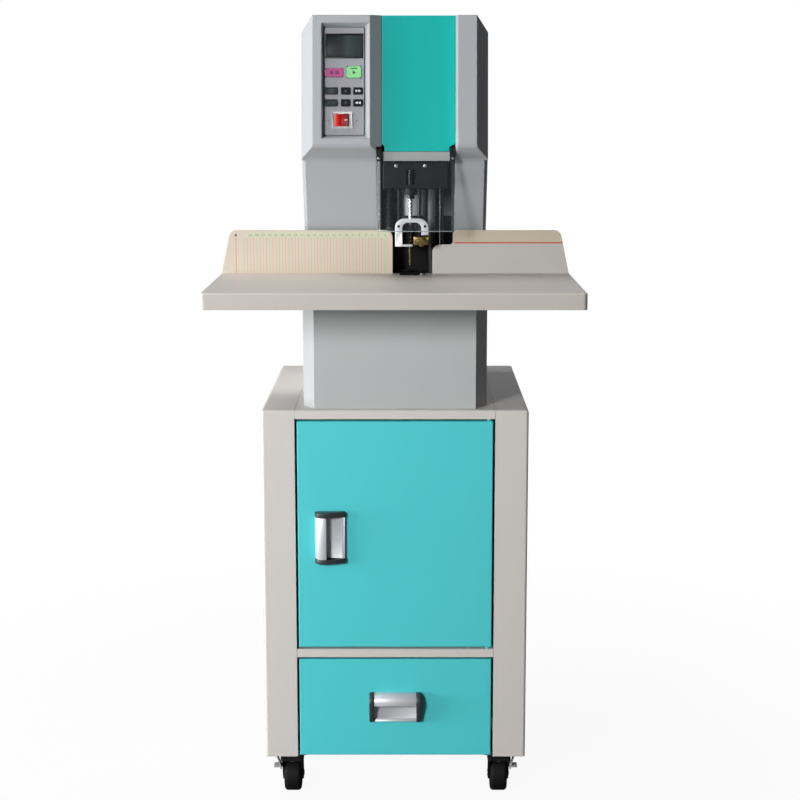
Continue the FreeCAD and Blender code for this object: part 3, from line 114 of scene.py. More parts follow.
def startPick(piece, kind):
    takeUp(piece)
    bpy.ops.object.mode_set(mode="EDIT")
    bpy.ops.mesh.select_mode(type=kind)
    bpy.ops.mesh.select_all(action="DESELECT")
    bpy.ops.object.mode_set(mode="OBJECT")


def pickFaces(piece, wanted):
    startPick(piece, "FACE")
    for face in piece.data.polygons:
        face.select = bool(wanted(face.center / mm, face.normal))
    bpy.ops.object.mode_set(mode="EDIT")


def pickEdges(piece, wanted):
    startPick(piece, "EDGE")
    points = [v.co / mm for v in piece.data.vertices]
    for edge in piece.data.edges:
        edge.select = bool(wanted(points[edge.vertices[0]], points[edge.vertices[1]]))
    bpy.ops.object.mode_set(mode="EDIT")


def pickPoints(piece, wanted):
    startPick(piece, "VERT")
    for point in piece.data.vertices:
        point.select = bool(wanted(point.co / mm))
    bpy.ops.object.mode_set(mode="EDIT")


def pickAll(piece):
    takeUp(piece)
    bpy.ops.object.mode_set(mode="EDIT")
    bpy.ops.mesh.select_all(action="SELECT")


def leaveEdit():
    bpy.ops.object.mode_set(mode="OBJECT")


# an edge counts when both its ends pass the test
def both(test):
    return lambda a, b: test(a) and test(b)


def runsBack(a, b):
    return abs(a.y - b.y) > 1


def facesFront(c, n):
    return n.y < -0.9


def insetBy(width):
    bpy.ops.mesh.inset(thickness=width * mm)


def extrudeBy(move):
    bpy.ops.mesh.extrude_region_move(TRANSFORM_OT_translate={"value": metres(move)})


def roundEdges(piece, wanted, width, rounds=3):
    pickEdges(piece, wanted)
    bpy.ops.mesh.bevel(offset=width * mm, segments=rounds, affect="EDGES")
    leaveEdit()


def shift(piece, wanted, move):
    pickPoints(piece, wanted)
    bpy.ops.transform.translate(value=metres(move))
    leaveEdit()


# a new line of edges across the piece, where one coordinate has this value
def cutAt(piece, axis, value):
    pickAll(piece)
    normal = [float(axis == name) for name in "xyz"]
    bpy.ops.mesh.bisect(plane_co=[value * mm * n for n in normal], plane_no=normal)
    leaveEdit()


def sink(piece, wanted, rim, move):
    pickFaces(piece, wanted)
    if rim:
        insetBy(rim)
    extrudeBy(move)
    leaveEdit()


def applyModifier(piece, kind, **settings):
    takeUp(piece)
    modifier = piece.modifiers.new("shape", kind)
    for key, value in settings.items():
        setattr(modifier, key, value)
    bpy.ops.object.modifier_apply(modifier=modifier.name)


def softEdges(piece, width, rounds=2):
    applyModifier(piece, "BEVEL", width=width * mm, segments=rounds, limit_method="ANGLE",
                  angle_limit=radians(30), use_clamp_overlap=True)


def takeAway(piece, tool):
    applyModifier(piece, "BOOLEAN", operation="DIFFERENCE", object=tool, solver="EXACT")
    bpy.data.objects.remove(tool)


def copyOf(piece, name, move=(0, 0, 0), mirrorX=False):
    twin = piece.copy()
    twin.data = piece.data.copy()
    twin.name = name
    bpy.context.scene.collection.objects.link(twin)
    twin.location = metres(move)
    if mirrorX:
        twin.scale = (-1, 1, 1)
    settle(twin)
    if mirrorX:
        pickAll(twin)
        bpy.ops.mesh.normals_make_consistent(inside=False)
        leaveEdit()
    return twin


def joined(pieces, name):
    takeUp(pieces[0])
    for piece in pieces[1:]:
        piece.select_set(True)
    if len(pieces) > 1:
        bpy.ops.object.join()
    pieces[0].name = name
    return pieces[0]


def finishPiece(piece, body, material):
    settle(piece)
    bpy.ops.object.shade_smooth_by_angle(angle=radians(35))
    piece.data.materials.clear()
    piece.data.materials.append(material)
    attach(piece, body)
    return piece


def boxOf(node):
    low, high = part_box(node)
    return low / mm, high / mm


# materials

def colour(text):
    parts = [int(text[i:i + 2], 16) / 255 for i in (1, 3, 5)]
    return [c / 12.92 if c <= 0.04045 else ((c + 0.055) / 1.055) ** 2.4 for c in parts] + [1]


def addNode(tree, kind, settings=None, links=None):
    node = tree.nodes.new("ShaderNode" + kind)
    for key, value in (settings or {}).items():
        if hasattr(node, key):
            setattr(node, key, value)
        else:
            node.inputs[int(key) if key.isdigit() else key].default_value = value
    for key, source in (links or {}).items():
        tree.links.new(source, node.inputs[int(key) if key.isdigit() else key])
    return node


def feed(shader, socket, source):
    shader.id_data.links.new(source, shader.inputs[socket])


def newMaterial(name, shaderSettings):
    material = bpy.data.materials.new(name)
    material.use_nodes = True
    tree = material.node_tree
    shader = tree.nodes["Principled BSDF"]
    for key, value in shaderSettings.items():
        shader.inputs[key].default_value = value
    return material, tree, shader


def objectPlace(tree):
    return addNode(tree, "TexCoord").outputs["Object"]


def objectAxes(tree):
    place = objectPlace(tree)
    return place, addNode(tree, "SeparateXYZ", None, {"Vector": place}).outputs


def noise(tree, place, sizeMm, detail):
    return addNode(tree, "TexNoise", {"Scale": 1 / (sizeMm * mm), "Detail": detail},
                   {"Vector": place}).outputs["Fac"]


def maths(tree, kind, *values):
    settings, links = {"operation": kind}, {}
    for place, value in enumerate(values):
        (settings if isinstance(value, (int, float)) else links)[str(place)] = value
    return addNode(tree, "Math", settings, links).outputs[0]


def mapRange(tree, value, source, target=(0, 1), smooth=False):
    settings = {"From Min": source[0], "From Max": source[1], "To Min": target[0], "To Max": target[1],
                "interpolation_type": "SMOOTHSTEP" if smooth else "LINEAR"}
    return addNode(tree, "MapRange", settings, {"Value": value}).outputs["Result"]


def mixColours(tree, factor, first, second, kind="MIX"):
    mixed = addNode(tree, "Mix", {"data_type": "RGBA", "blend_type": kind})
    for place, value in ((0, factor), (6, first), (7, second)):
        if isinstance(value, bpy.types.NodeSocket):
            tree.links.new(value, mixed.inputs[place])
        else:
            mixed.inputs[place].default_value = colour(value) if isinstance(value, str) else value
    return mixed.outputs[2]


def colourRamp(tree, factor, stops):
    ramp = addNode(tree, "ValToRGB", None, {"Fac": factor})
    ramp.color_ramp.elements[0].color = colour(stops[0][1])
    ramp.color_ramp.elements[1].color = colour(stops[-1][1])
    for spot, shade in stops[1:-1]:
        ramp.color_ramp.elements.new(spot).color = colour(shade)
    return ramp.outputs["Color"]


grainDepth = 0.2  # the relief's depth, as a share of its grain


# a surface with a colour that drifts a little, a roughness that drifts too, and a fine relief
def coated(name, hexText, base, **changes):
    look = {"metallic": 0, "ior": 1.5, "stretch": (1, 1, 1), "edgeMm": 0.6, **base, **changes}
    material, tree, shader = newMaterial(name, {"Metallic": look["metallic"], "IOR": look["ior"]})
    place = addNode(tree, "Mapping", {"Scale": look["stretch"]},
                    {"Vector": objectPlace(tree)}).outputs["Vector"]
    drift = noise(tree, place, look["driftMm"], detail=3)
    written = colour(hexText)[:3]
    darker = [c * (1 - look["drift"]) for c in written] + [1]
    lighter = [min(1, c * (1 + look["drift"])) for c in written] + [1]
    feed(shader, "Base Color", mixColours(tree, drift, darker, lighter))
    swing = (look["rough"] - look["roughDrift"], look["rough"] + look["roughDrift"])
    feed(shader, "Roughness", mapRange(tree, drift, (0, 1), swing))
    edge = addNode(tree, "Bevel", {"samples": 4, "Radius": look["edgeMm"] * mm}).outputs["Normal"]
    depth = look["grainMm"] * grainDepth * mm
    relief = addNode(tree, "Bump", {"Strength": look["relief"], "Distance": depth},
                     {"Height": noise(tree, place, look["grainMm"], detail=2), "Normal": edge})
    feed(shader, "Normal", relief.outputs["Normal"])
    return material


# a finished coat, ready for another layer of colour over its own
def coatOf(material):
    tree = material.node_tree
    shader = tree.nodes["Principled BSDF"]
    return tree, shader, shader.inputs["Base Color"].links[0].from_socket


# powder coat on sheet steel: baked on, so a soft gloss with a faint orange peel, drawn at 1.6 mm to show
powderCoat = {"drift": 0.012, "driftMm": 160, "rough": 0.42, "roughDrift": 0.04, "grainMm": 1.6,
              "relief": 0.1, "edgeMm": 1}
cabinetPaint = coated("powderCoatWarmGrey", "#D3CEC9", powderCoat)
basePaint = coated("powderCoatCoolGrey", "#B5B8B8", powderCoat)
# the crossbar's coat is the base's grey set darker: painted shade where the teal cover above shades it
crossbarShadedPaint = coated("powderCoatCrossbarShaded", "#9DA09E", powderCoat)
tablePaint = coated("powderCoatTableGrey", "#C5BEB8", powderCoat)
doorPaint = coated("powderCoatAqua", "#50CFD4", powderCoat)
innerPaint = coated("powderCoatInnerGrey", "#B9B7B4", powderCoat)

# spark-textured ABS, moulded: even and almost matt, its grit drawn at 1 mm
texturedAbs = {"drift": 0.01, "driftMm": 120, "rough": 0.46, "roughDrift": 0.03, "grainMm": 1,
               "relief": 0.12, "edgeMm": 2.6}
headAbs = coated("absLightGrey", "#A6AAAE", texturedAbs)
tealAbs = coated("absTeal", "#04AEA7", texturedAbs, ior=1.36)

# smooth moulded plastic, printed film and lacquer: each differs in gloss and grain
smoothPlastic = {"drift": 0.04, "driftMm": 12, "rough": 0.4, "roughDrift": 0.05, "grainMm": 0.8,
                 "relief": 0.08}
# the film's grey is partly its own colour and partly painted shade: set darker, as the walls of the recess it
# lies in shade it
panelFilm = coated("polyesterFilmGrey", "#9A99A1", smoothPlastic, drift=0.01, driftMm=60, roughDrift=0.02,
                   grainMm=0.6, relief=0.05, edgeMm=0.3)
capPlastic = coated("absDarkGrey", "#33393B", smoothPlastic)
whitePlastic = coated("polycarbonateWhite", "#F8F8F7", smoothPlastic, drift=0.01, rough=0.25, roughDrift=0.03,
                      grainMm=0.7, relief=0.03)
circuitLacquer = coated("boardLacquer", "#1F5B38", smoothPlastic, drift=0.08, driftMm=8, rough=0.35,
                        grainMm=1, relief=0.1)
frameGloss = coated("acrylicBlack", "#121517", smoothPlastic, drift=0.05, rough=0.32, roughDrift=0.03,
                    relief=0.02, ior=1.4)
# glass-filled nylon, with a dull bloom, and the softer rubber of tyres and belt
casterNylon = coated("nylonBlack", "#0F0F10", smoothPlastic, drift=0.1, driftMm=14, rough=0.58,
                     roughDrift=0.06, grainMm=0.9, relief=0.1, ior=1.35)
tyreRubber = coated("rubberBlack", "#101011", smoothPlastic, drift=0.12, driftMm=10, rough=0.7,
                    roughDrift=0.06, grainMm=1.2, relief=0.15, edgeMm=0.5, ior=1.3)
# painted highlight along the acrylic shield's lower edge: a matt pale grey strip, opaque, where the clear
# edge catches the light
acrylicEdgeHighlight = coated("acrylicEdgePaintedHighlight", "#8E979B", smoothPlastic, driftMm=8, rough=0.55, grainMm=0.6,
                     relief=0.1, ior=1.49, edgeMm=0.2)

# zinc-plated pressed steel: greyish, slightly clouded
zincPlate = {"drift": 0.06, "driftMm": 9, "rough": 0.34, "roughDrift": 0.08, "grainMm": 0.8, "relief": 0.08,
             "metallic": 1, "edgeMm": 0.4}
zincSteel = coated("zincPlatedSteel", "#B8BCC0", zincPlate)

# ground tool steel: fine turning marks round the axis, drawn as bands along Z
groundSteel = {"drift": 0.05, "driftMm": 6, "rough": 0.26, "roughDrift": 0.06, "grainMm": 0.7, "relief": 0.06,
               "metallic": 1, "stretch": (0.4, 0.4, 2.5), "edgeMm": 0.3}
brightSteel = coated("groundSteel", "#B4B5B6", groundSteel)
dimSteel = coated("oiledSteel", "#3C3E40", groundSteel)
spindleSteel = coated("spindleSteel", "#3A3B3D", groundSteel)

# tumbled metal: pale and only partly mirror-like
tumbled = {"drift": 0.05, "driftMm": 7, "rough": 0.4, "roughDrift": 0.06, "grainMm": 0.8, "relief": 0.08,
           "metallic": 0.5, "edgeMm": 0.4}
leverSteel = coated("tumbledSteel", "#C6C8CA", tumbled)
castAluminium = coated("castAluminium", "#E2E3E8", tumbled, drift=0.04, driftMm=8, relief=0.12, metallic=0.25,
                       edgeMm=0.5)
motorGrey = coated("motorCanGrey", "#C2C4C8", tumbled, driftMm=20, rough=0.42, grainMm=1, metallic=0.2,
                   edgeMm=0.5)
# extruded aluminium, satin anodised
anodised = coated("anodisedAluminium", "#D0D1D6", tumbled, drift=0.03, driftMm=6, rough=0.42, roughDrift=0.04,
                  relief=0.05, metallic=0.35, edgeMm=0.3)
# machined and a little tarnished
machinedBrass = coated("machinedBrass", "#7C7044", tumbled, drift=0.1, driftMm=5, roughDrift=0.07,
                       grainMm=0.6, relief=0.06, metallic=1, edgeMm=0.3)
# black oxide, oiled: dark enough to pass for paint
blackSteel = coated("blackOxideSteel", "#0D0E0F", tumbled, drift=0.12, driftMm=12, rough=0.52,
                    roughDrift=0.07, grainMm=0.9, metallic=0, edgeMm=0.5, ior=1.32)

# silicone keys: soft, with a low sheen
silicone = {"drift": 0.1, "driftMm": 7, "rough": 0.42, "roughDrift": 0.04, "grainMm": 0.6, "relief": 0.05}
pinkKey = coated("siliconePink", "#B84E8A", silicone, drift=0.08)
greenKey = coated("siliconeGreen", "#8AD98F", silicone, drift=0.05)
greyKey = coated("siliconeGreyGreen", "#2C3334", silicone, rough=0.5, ior=1.3)
navyKey = coated("siliconeNavy", "#10111C", silicone, rough=0.48, ior=1.3)

# screen-printed ink: matt
ink = {"drift": 0.02, "driftMm": 3, "rough": 0.5, "roughDrift": 0.03, "grainMm": 0.5, "relief": 0.02}
whiteInk = coated("printedWhite", "#EDEFF2", ink)
darkInk = coated("printedDark", "#3B3F45", ink, drift=0.04)
greenInk = coated("printedGreen", "#6FA070", ink, drift=0.06)
dimInk = coated("printedDim", "#4D5563", ink)
paleInk = coated("printedPale", "#7A2F62", ink)


# printed sheet metal: powder coat with bands and fine lines on its front face only
def printedScale(name, hexText, bands):
    material = coated(name, hexText, powderCoat)
    tree, shader, paint = coatOf(material)
    axes = objectAxes(tree)[1]
    face = addNode(tree, "NewGeometry").outputs["True Normal"]
    facing = addNode(tree, "SeparateXYZ", None, {"Vector": face}).outputs["Y"]
    front = maths(tree, "LESS_THAN", facing, -0.5)

    def within(value, span):
        return maths(tree, "MULTIPLY", maths(tree, "GREATER_THAN", value, span[0] * mm),
                     maths(tree, "LESS_THAN", value, span[1] * mm))

    for band in bands:
        area = maths(tree, "MULTIPLY", within(axes["X"], band["x"]), within(axes["Z"], band["z"]))
        area = maths(tree, "MULTIPLY", area, front)
        if "pitch" in band:
            along = maths(tree, "SUBTRACT", axes["X"], band["from"] * mm)
            part = maths(tree, "FRACT", maths(tree, "DIVIDE", along, band["pitch"] * mm))
            wave = maths(tree, "ABSOLUTE", maths(tree, "SUBTRACT", part, 0.5))
            line = maths(tree, "LESS_THAN", wave, band["line"] / band["pitch"] / 2)
            area = maths(tree, "MULTIPLY", area, line)
        paint = mixColours(tree, maths(tree, "MULTIPLY", area, band["strength"]), paint, band["ink"])
    feed(shader, "Base Color", paint)
    return material


# centimetre lines in two colours, half a centimetre apart, the numbers' strip above and a stop line at left
centimetres = {"x": (-239, -11), "z": (840, 895), "strength": 0.5, "pitch": 10, "line": 1.5}
scaleSheet = printedScale("powderCoatCreamWithScale", "#CCC2B2", [
    {**centimetres, "ink": "#D98F6E", "from": 24},
    {**centimetres, "ink": "#9DBB83", "from": 29},
    {"x": (-233, -11), "z": (896, 903.5), "ink": "#BFD8A8", "strength": 0.35},
    {"x": (-249.6, -247.8), "z": (840, 895), "ink": "#E08A70", "strength": 0.85}])
# a cream band with a red line under it
bandSheet = printedScale("powderCoatGreyWithBand", "#C0BDB9", [
    {"x": (92, 274), "z": (888.5, 908), "ink": "#C6BCA6", "strength": 1},
    {"x": (92, 274), "z": (886.2, 888.5), "ink": "#C8574C", "strength": 0.95}])

# hollow drill: its shank ground bright; its lower part dark brownish grey, painted shade where it runs under
# the presser foot
drillLook = {"low": "#3E3B30", "high": "#D2D4D6", "change": (916, 924), "marksMm": 16, "wander": 0.6,
             "detail": 2, "rough": (0.24, 0.36)}


def drillFinish():
    look = drillLook
    material, tree, shader = newMaterial("drillSteel", {"Metallic": 1})
    place, axes = objectAxes(tree)
    # painted shade: the drill is dark below the change height and bright above it
    height = mapRange(tree, axes["Z"], metres(look["change"]), smooth=True)
    feed(shader, "Base Color", mixColours(tree, height, look["low"], look["high"]))
    marks = addNode(tree, "TexWave", {"bands_direction": "Z", "Scale": 1 / (look["marksMm"] * mm),
                                      "Distortion": look["wander"], "Detail": look["detail"]},
                    {"Vector": place})
    feed(shader, "Roughness", mapRange(tree, marks.outputs["Fac"], (0, 1), look["rough"]))
    return material


# cast frame: grey primer, with painted shade: near black low down, close to the table
frameLook = {"drift": 0.05, "driftMm": 25, "rough": 0.55, "roughDrift": 0.05, "grainMm": 1.4, "relief": 0.2,
             "edgeMm": 0.8, "ior": 1.4, "low": "#121314", "change": (898, 925)}


def frameFinish():
    material = coated("paintedCastFrame", "#72747A", frameLook)
    tree, shader, paint = coatOf(material)
    # painted shade: near black below the change height, the grey coat above it
    height = mapRange(tree, objectAxes(tree)[1]["Z"], metres(frameLook["change"]), smooth=True)
    feed(shader, "Base Color", mixColours(tree, height, frameLook["low"], paint))
    return material


# rocker: clear red polycarbonate, with painted light across it: a painted highlight near its left edge, then
# painted shade darkening to the right
rockerPaintedLightLook = {"x": (-92, -68), "cloudMm": 5, "rough": (0.34, 0.46), "ior": 1.25,
              "stops": [(0, "#D8251C"), (0.12, "#F04A38"), (0.28, "#CE1812"), (0.5, "#920C0B"),
                        (1, "#4E0404")]}


def rockerFinish():
    look = rockerPaintedLightLook
    material, tree, shader = newMaterial("polycarbonateRed", {"IOR": look["ior"]})
    place, axes = objectAxes(tree)
    # painted highlight at the left, painted shade growing towards the right
    paintedLightAcross = colourRamp(tree, mapRange(tree, axes["X"], metres(look["x"])), look["stops"])
    feed(shader, "Base Color", paintedLightAcross)
    cloud = noise(tree, place, look["cloudMm"], detail=2)
    feed(shader, "Roughness", mapRange(tree, cloud, (0, 1), look["rough"]))
    return material


# cast acrylic, 3 mm: clear, with a faint cool tint and a hard gloss, fuller where it is seen along its face
acrylicLook = {"tint": "#C4CED4", "rough": 0.06, "ior": 1.49, "hazeMm": 30, "haze": 0.012,
               "cover": (0.006, 0.75), "blend": 0.35}


def acrylicSheet():
    look = acrylicLook
    material, tree, shader = newMaterial("acrylicClear", {"Base Color": colour(look["tint"]),
                                                          "Roughness": look["rough"], "IOR": look["ior"]})
    rim = addNode(tree, "LayerWeight", {"Blend": look["blend"]}).outputs["Facing"]
    cover = mapRange(tree, rim, (0, 1), look["cover"])
    haze = noise(tree, objectPlace(tree), look["hazeMm"], detail=4)
    feed(shader, "Alpha", maths(tree, "MULTIPLY_ADD", haze, look["haze"], cover))
    return material


# liquid crystal display behind its window: dark grey green, with dot rows that are barely darker, and painted
# shade across it, darkest at the left and lightest a little right of the middle
displayLook = {"x": (-105, -47), "dotMm": 1.2, "dots": ("#FFFFFF", "#EAEAEA"), "rough": 0.38, "ior": 1.2,
               "stops": [(0, "#202727"), (0.42, "#333C3C"), (0.62, "#465051"), (1, "#3B4445")]}


def displayPane():
    look = displayLook
    material, tree, shader = newMaterial("lcdDark", {"Roughness": look["rough"], "IOR": look["ior"]})
    place, axes = objectAxes(tree)
    # painted shade across the display: darkest at its left edge
    paintedShadeAcross = colourRamp(tree, mapRange(tree, axes["X"], metres(look["x"]), smooth=True), look["stops"])
    gap, dot = look["dots"]
    rows = addNode(tree, "TexChecker", {"Scale": 1 / (look["dotMm"] * mm), "Color1": colour(gap),
                                        "Color2": colour(dot)}, {"Vector": place})
    feed(shader, "Base Color", mixColours(tree, 1, paintedShadeAcross, rows.outputs["Color"], "MULTIPLY"))
    return material


frameSteel = frameFinish()
drillSteel = drillFinish()
rockerRed = rockerFinish()
acrylic = acrylicSheet()
lcdDark = displayPane()
print("materials made")

cadFinishes = [
    (cabinetPaint, ["side_panel_left", "side_panel_right", "top_panel", "rear_panel", "floor_panel",
                    "middle_shelf"]),
    (doorPaint, ["door_panel", "drawer_front"]),
    (innerPaint, ["drawer_box"]),
    (basePaint, ["base_housing"]),
    (crossbarShadedPaint, ["front_crossbar"]),
    (tablePaint, ["work_table"]),
    (scaleSheet, ["fence_left"]),
    (bandSheet, ["fence_right"]),
    (headAbs, ["head_shell_left", "head_shell_right", "rear_cover"]),
    (tealAbs, ["front_cover"]),
    (panelFilm, ["control_panel"]),
    (frameGloss, ["display"]),
    (whitePlastic, ["rocker_bezel"]),
    (rockerRed, ["power_rocker"]),
    (pinkKey, ["key_red"]),
    (greenKey, ["key_green"]),
    (greyKey, ["key_menu", "key_mode"]),
    (navyKey, ["key_plus", "key_forward", "key_minus", "key_back"]),
    (acrylic, ["clear_shield"]),
    (casterNylon, ["shield_hinges", "power_inlet"] + ["caster_fork_" + corner for corner in corners]),
    (tyreRubber, ["drive_belt"] + ["caster_wheel_" + corner for corner in corners]),
    (zincSteel, ["drawer_runners", "caster_mounts"]),
    (leverSteel, ["brake_lever_front_left", "brake_lever_front_right"]),
    (anodised, ["door_handle", "drawer_handle"]),
    (frameSteel, ["mechanism_frame"]),
    (brightSteel, ["table_dies", "motor_pulley"]),
    (dimSteel, ["feed_screw"]),
    (spindleSteel, ["drill_spindle"]),
    (drillSteel, ["hollow_drill"]),
    (blackSteel, ["drill_carriage", "feed_motor"]),
    (motorGrey, ["drill_motor"]),
    (castAluminium, ["presser_foot"]),
    (machinedBrass, ["rivet_head"]),
    (circuitLacquer, ["circuit_board"]),
]
for finish, names in cadFinishes:
    for name in names:
        nodes[name].data.materials.clear()
        nodes[name].data.materials.append(finish)
print("frame finished")

# cup handles: an anodised body between two dark caps, made lying along X and turned for the door
handleSizes = {"length": 82, "width": 46, "proud": 15, "hoodEnd": 5, "hoodRound": 13.5, "floor": 2,
               "cupTop": 18, "cupRound": 5, "lip": 4.2, "lipProud": 6, "lipSlope": 2.8, "soft": 0.5,
               "cap": 8, "capLip": 0.6, "capFoot": 7.2, "capRound": 2.2, "capSoft": 0.4}


def makeHandle(node, body):
    s = handleSizes
    low, high = boxOf(node)
    turned = high.z - low.z > high.x - low.x
    place = [(low.x + high.x) / 2, high.y, (low.z + high.z) / 2]
    halfLength, halfWidth = s["length"] / 2, s["width"] / 2
    inner, lipTop = halfLength - s["cap"], s["lip"] - halfWidth

    def onHood(p):
        return p.y < 1 - s["proud"] and p.z > halfWidth - 1

    shell = block(node + "Body", (-inner, -s["proud"], -halfWidth), (inner, 0, halfWidth))
    cutAt(shell, "z", s["hoodEnd"])
    cutAt(shell, "z", lipTop)
    shift(shell, lambda p: p.y < -1 and p.z < lipTop + near, (0, s["proud"] - s["lipProud"], 0))
    shift(shell, lambda p: p.y < -1 and abs(p.z - lipTop) < near, (0, s["lipSlope"], 0))
    pickFaces(shell, lambda c, n: n.y < -0.3 and lipTop < c.z < s["hoodEnd"])
    extrudeBy((0, 0, 0))
    bpy.ops.transform.resize(value=(1, 0, 1), center_override=(0, -s["floor"] * mm, 0))
    leaveEdit()
    shift(shell, lambda p: abs(p.y + s["floor"]) < near and p.z > 0, (0, 0, s["cupTop"] - s["hoodEnd"]))
    roundEdges(shell, both(onHood), s["hoodRound"], 12)
    roundEdges(shell, both(lambda p: abs(p.y + s["floor"]) < near and p.z > s["hoodEnd"]), s["cupRound"], 5)
    softEdges(shell, s["soft"])
    cap = block(node + "CapLow", (-halfLength, -s["proud"] - s["capLip"], -halfWidth - s["capLip"]),
                (-inner, 0, halfWidth + s["capLip"]))
    cutAt(cap, "z", s["hoodEnd"])
    footBack = s["proud"] + s["capLip"] - s["capFoot"]
    shift(cap, lambda p: p.y < -s["proud"] and p.z < -halfWidth, (0, footBack, 0))
    roundEdges(cap, both(onHood), s["hoodRound"], 12)
    roundEdges(cap, lambda a, b: max(a.x, b.x) < near - halfLength and min(a.y, b.y) < -near,
               s["capRound"], 4)
    softEdges(cap, s["capSoft"])
    otherCap = copyOf(cap, node + "CapHigh", mirrorX=True)
    for piece, finish in ((shell, anodised), (cap, capPlastic), (otherCap, capPlastic)):
        if turned:
            piece.rotation_euler = (0, radians(-90), 0)
        piece.location = metres(place)
        finishPiece(piece, body, finish)
    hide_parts(node)


makeHandle("door_handle", "door")
makeHandle("drawer_handle", "drawer")
print("handles made")

# casters: a moulded wheel with a hub, an axle bolt with hexagon ends and a swivel race
wheelSizes = {"tread": 5.5, "rim": 7.75, "well": 3.2, "hub": 7.5, "hubRise": 2.4, "soft": 0.5}
axleSizes = {"cheek": 3, "bolt": 5.2, "rise": 1, "rim": 2.4, "crown": 0.4, "soft": 0.2}
raceSizes = {"behind": 18, "lift": 1.4, "radius": 15.5, "depth": 2.6, "rim": 3, "step": 0.6, "soft": 0.5}


def makeCaster(corner):
    low, high = boxOf("caster_wheel_" + corner)
    centre = (low + high) / 2
    radius, half = (high.z - low.z) / 2, (high.x - low.x) / 2

    def out(p):
        return abs(p.x - centre.x)

    def onRim(p):
        return hypot(p.y - centre.y, p.z - centre.z) > radius - near and out(p) > half - near

    s = wheelSizes
    wheel = drum("wheel_" + corner, centre, radius, 2 * half, "x", 72)
    for side in (-1, 1):
        sink(wheel, lambda c, n: n.x * side > 0.9 and out(c) > half - near, s["rim"],
             (-side * s["well"], 0, 0))
        sink(wheel, lambda c, n: n.x * side > 0.9 and abs(out(c) - half + s["well"]) < near, s["hub"],
             (side * s["hubRise"], 0, 0))
    roundEdges(wheel, lambda a, b: onRim(a) and onRim(b) and abs(a.x - b.x) < near, s["tread"], 7)
    softEdges(wheel, s["soft"])
    finishPiece(wheel, "wheel_" + corner, tyreRubber)
    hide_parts("caster_wheel_" + corner)
    s = axleSizes
    ends = []
    for side in (-1, 1):
        x = centre.x + side * (half + s["cheek"] + s["rise"] / 2)
        bolt = drum("axleEnd", (x, centre.y, centre.z), s["bolt"], s["rise"], "x", 6)
        sink(bolt, lambda c, n: n.x * side > 0.9, s["rim"], (side * s["crown"], 0, 0))
        softEdges(bolt, s["soft"])
        ends.append(bolt)
    finishPiece(joined(ends, "axleEnds_" + corner), "caster_" + corner, zincSteel)
    s = raceSizes
    forkTop = boxOf("caster_fork_" + corner)[1].z
    race = drum("swivelRace_" + corner, (centre.x, centre.y - s["behind"], forkTop + s["lift"]), s["radius"],
                s["depth"], "z")
    sink(race, lambda c, n: n.z > 0.9, s["rim"], (0, 0, s["step"]))
    softEdges(race, s["soft"])
    finishPiece(race, "caster_" + corner, zincSteel)


for corner in corners:
    makeCaster(corner)
print("casters made")

# small fasteners: one button-head screw, modelled once facing the front and copied
screwSizes = {"head": 3.4, "height": 1.7, "dome": 1.1, "socket": 1.5, "socketDepth": 0.9}
screwRows = {"rearCover": {"x": (-126, 126), "z": (836, 966, 1096, 1201)},
             "rearPanel": {"x": (-141, 141), "z": (116, 246, 376, 506, 606)},
             "carriage": {"x": (2, 46), "z": 1008, "scale": 0.85},
             "hinge": {"inset": 6.2, "z": 1020, "scale": 0.55}}


def makeScrew(name, scale):
    s = {key: value * scale for key, value in screwSizes.items()}
    screw = drum(name, (0, -s["height"] / 2, 0), s["head"], s["height"], "y", 24)
    roundEdges(screw, both(lambda p: p.y < near - s["height"]), s["dome"], 4)
    rim = s["head"] - s["dome"] - s["socket"]
    sink(screw, lambda c, n: n.y < -0.95, rim, (0, s["socketDepth"], 0))
    return screw


def placeScrews(name, places, body, finish, backwards=False, scale=1):
    model = makeScrew("screwModel", scale)
    if backwards:
        model.rotation_euler = (0, 0, pi)
        settle(model)
    copies = [copyOf(model, "screwCopy", place) for place in places]
    bpy.data.objects.remove(model)
    finishPiece(joined(copies, name), body, finish)


for name, node in (("rearCover", "rear_cover"), ("rearPanel", "rear_panel")):
    row, y = screwRows[name], boxOf(node)[1].y
    placeScrews(name + "Screws", [(x, y, z) for x in row["x"] for z in row["z"]], "machine", zincSteel,
                backwards=True)
row, y = screwRows["carriage"], boxOf("drill_carriage")[0].y
placeScrews("carriageScrews", [(x, y, row["z"]) for x in row["x"]], "carriage", zincSteel,
            scale=row["scale"])
row, (low, high) = screwRows["hinge"], boxOf("shield_hinges")
places = [(x, low.y, row["z"]) for x in (low.x + row["inset"], high.x - row["inset"])]
placeScrews("hingeScrews", places, "shield", zincSteel, scale=row["scale"])
print("screws placed")

# the control panel leans with the head's front: its pieces are made upright, Y being the depth behind the
# front and Z the height up the slope
panelPlace = {"foldY": -98.5, "foldZ": 1038, "lean": 7.987}


def leanBack(piece):
    piece.rotation_euler = (-radians(panelPlace["lean"]), 0, 0)
    piece.location = metres((0, panelPlace["foldY"], panelPlace["foldZ"]))
    return settle(piece)


# a plate with round corners, a soft front edge and a shallow well
def dishedPlate(name, s, rounds):
    plate = slab(name, s)
    roundEdges(plate, runsBack, s["corner"], rounds)
    roundEdges(plate, both(lambda p: p.y < s["front"] + near), s["edge"])
    sink(plate, lambda c, n: n.y < -0.98, s["rim"], (0, s["well"], 0))
    return leanBack(plate)


displaySizes = {"x": (-104.5, -47.7), "z": (134.3, 171.2), "front": 8.5, "back": 12.8, "rim": 2.4,
                "well": 0.8, "soft": 0.3, "paneGap": 0.1, "paneFront": 0.35, "paneBack": 0.75,
                "paneSoft": 0.15}


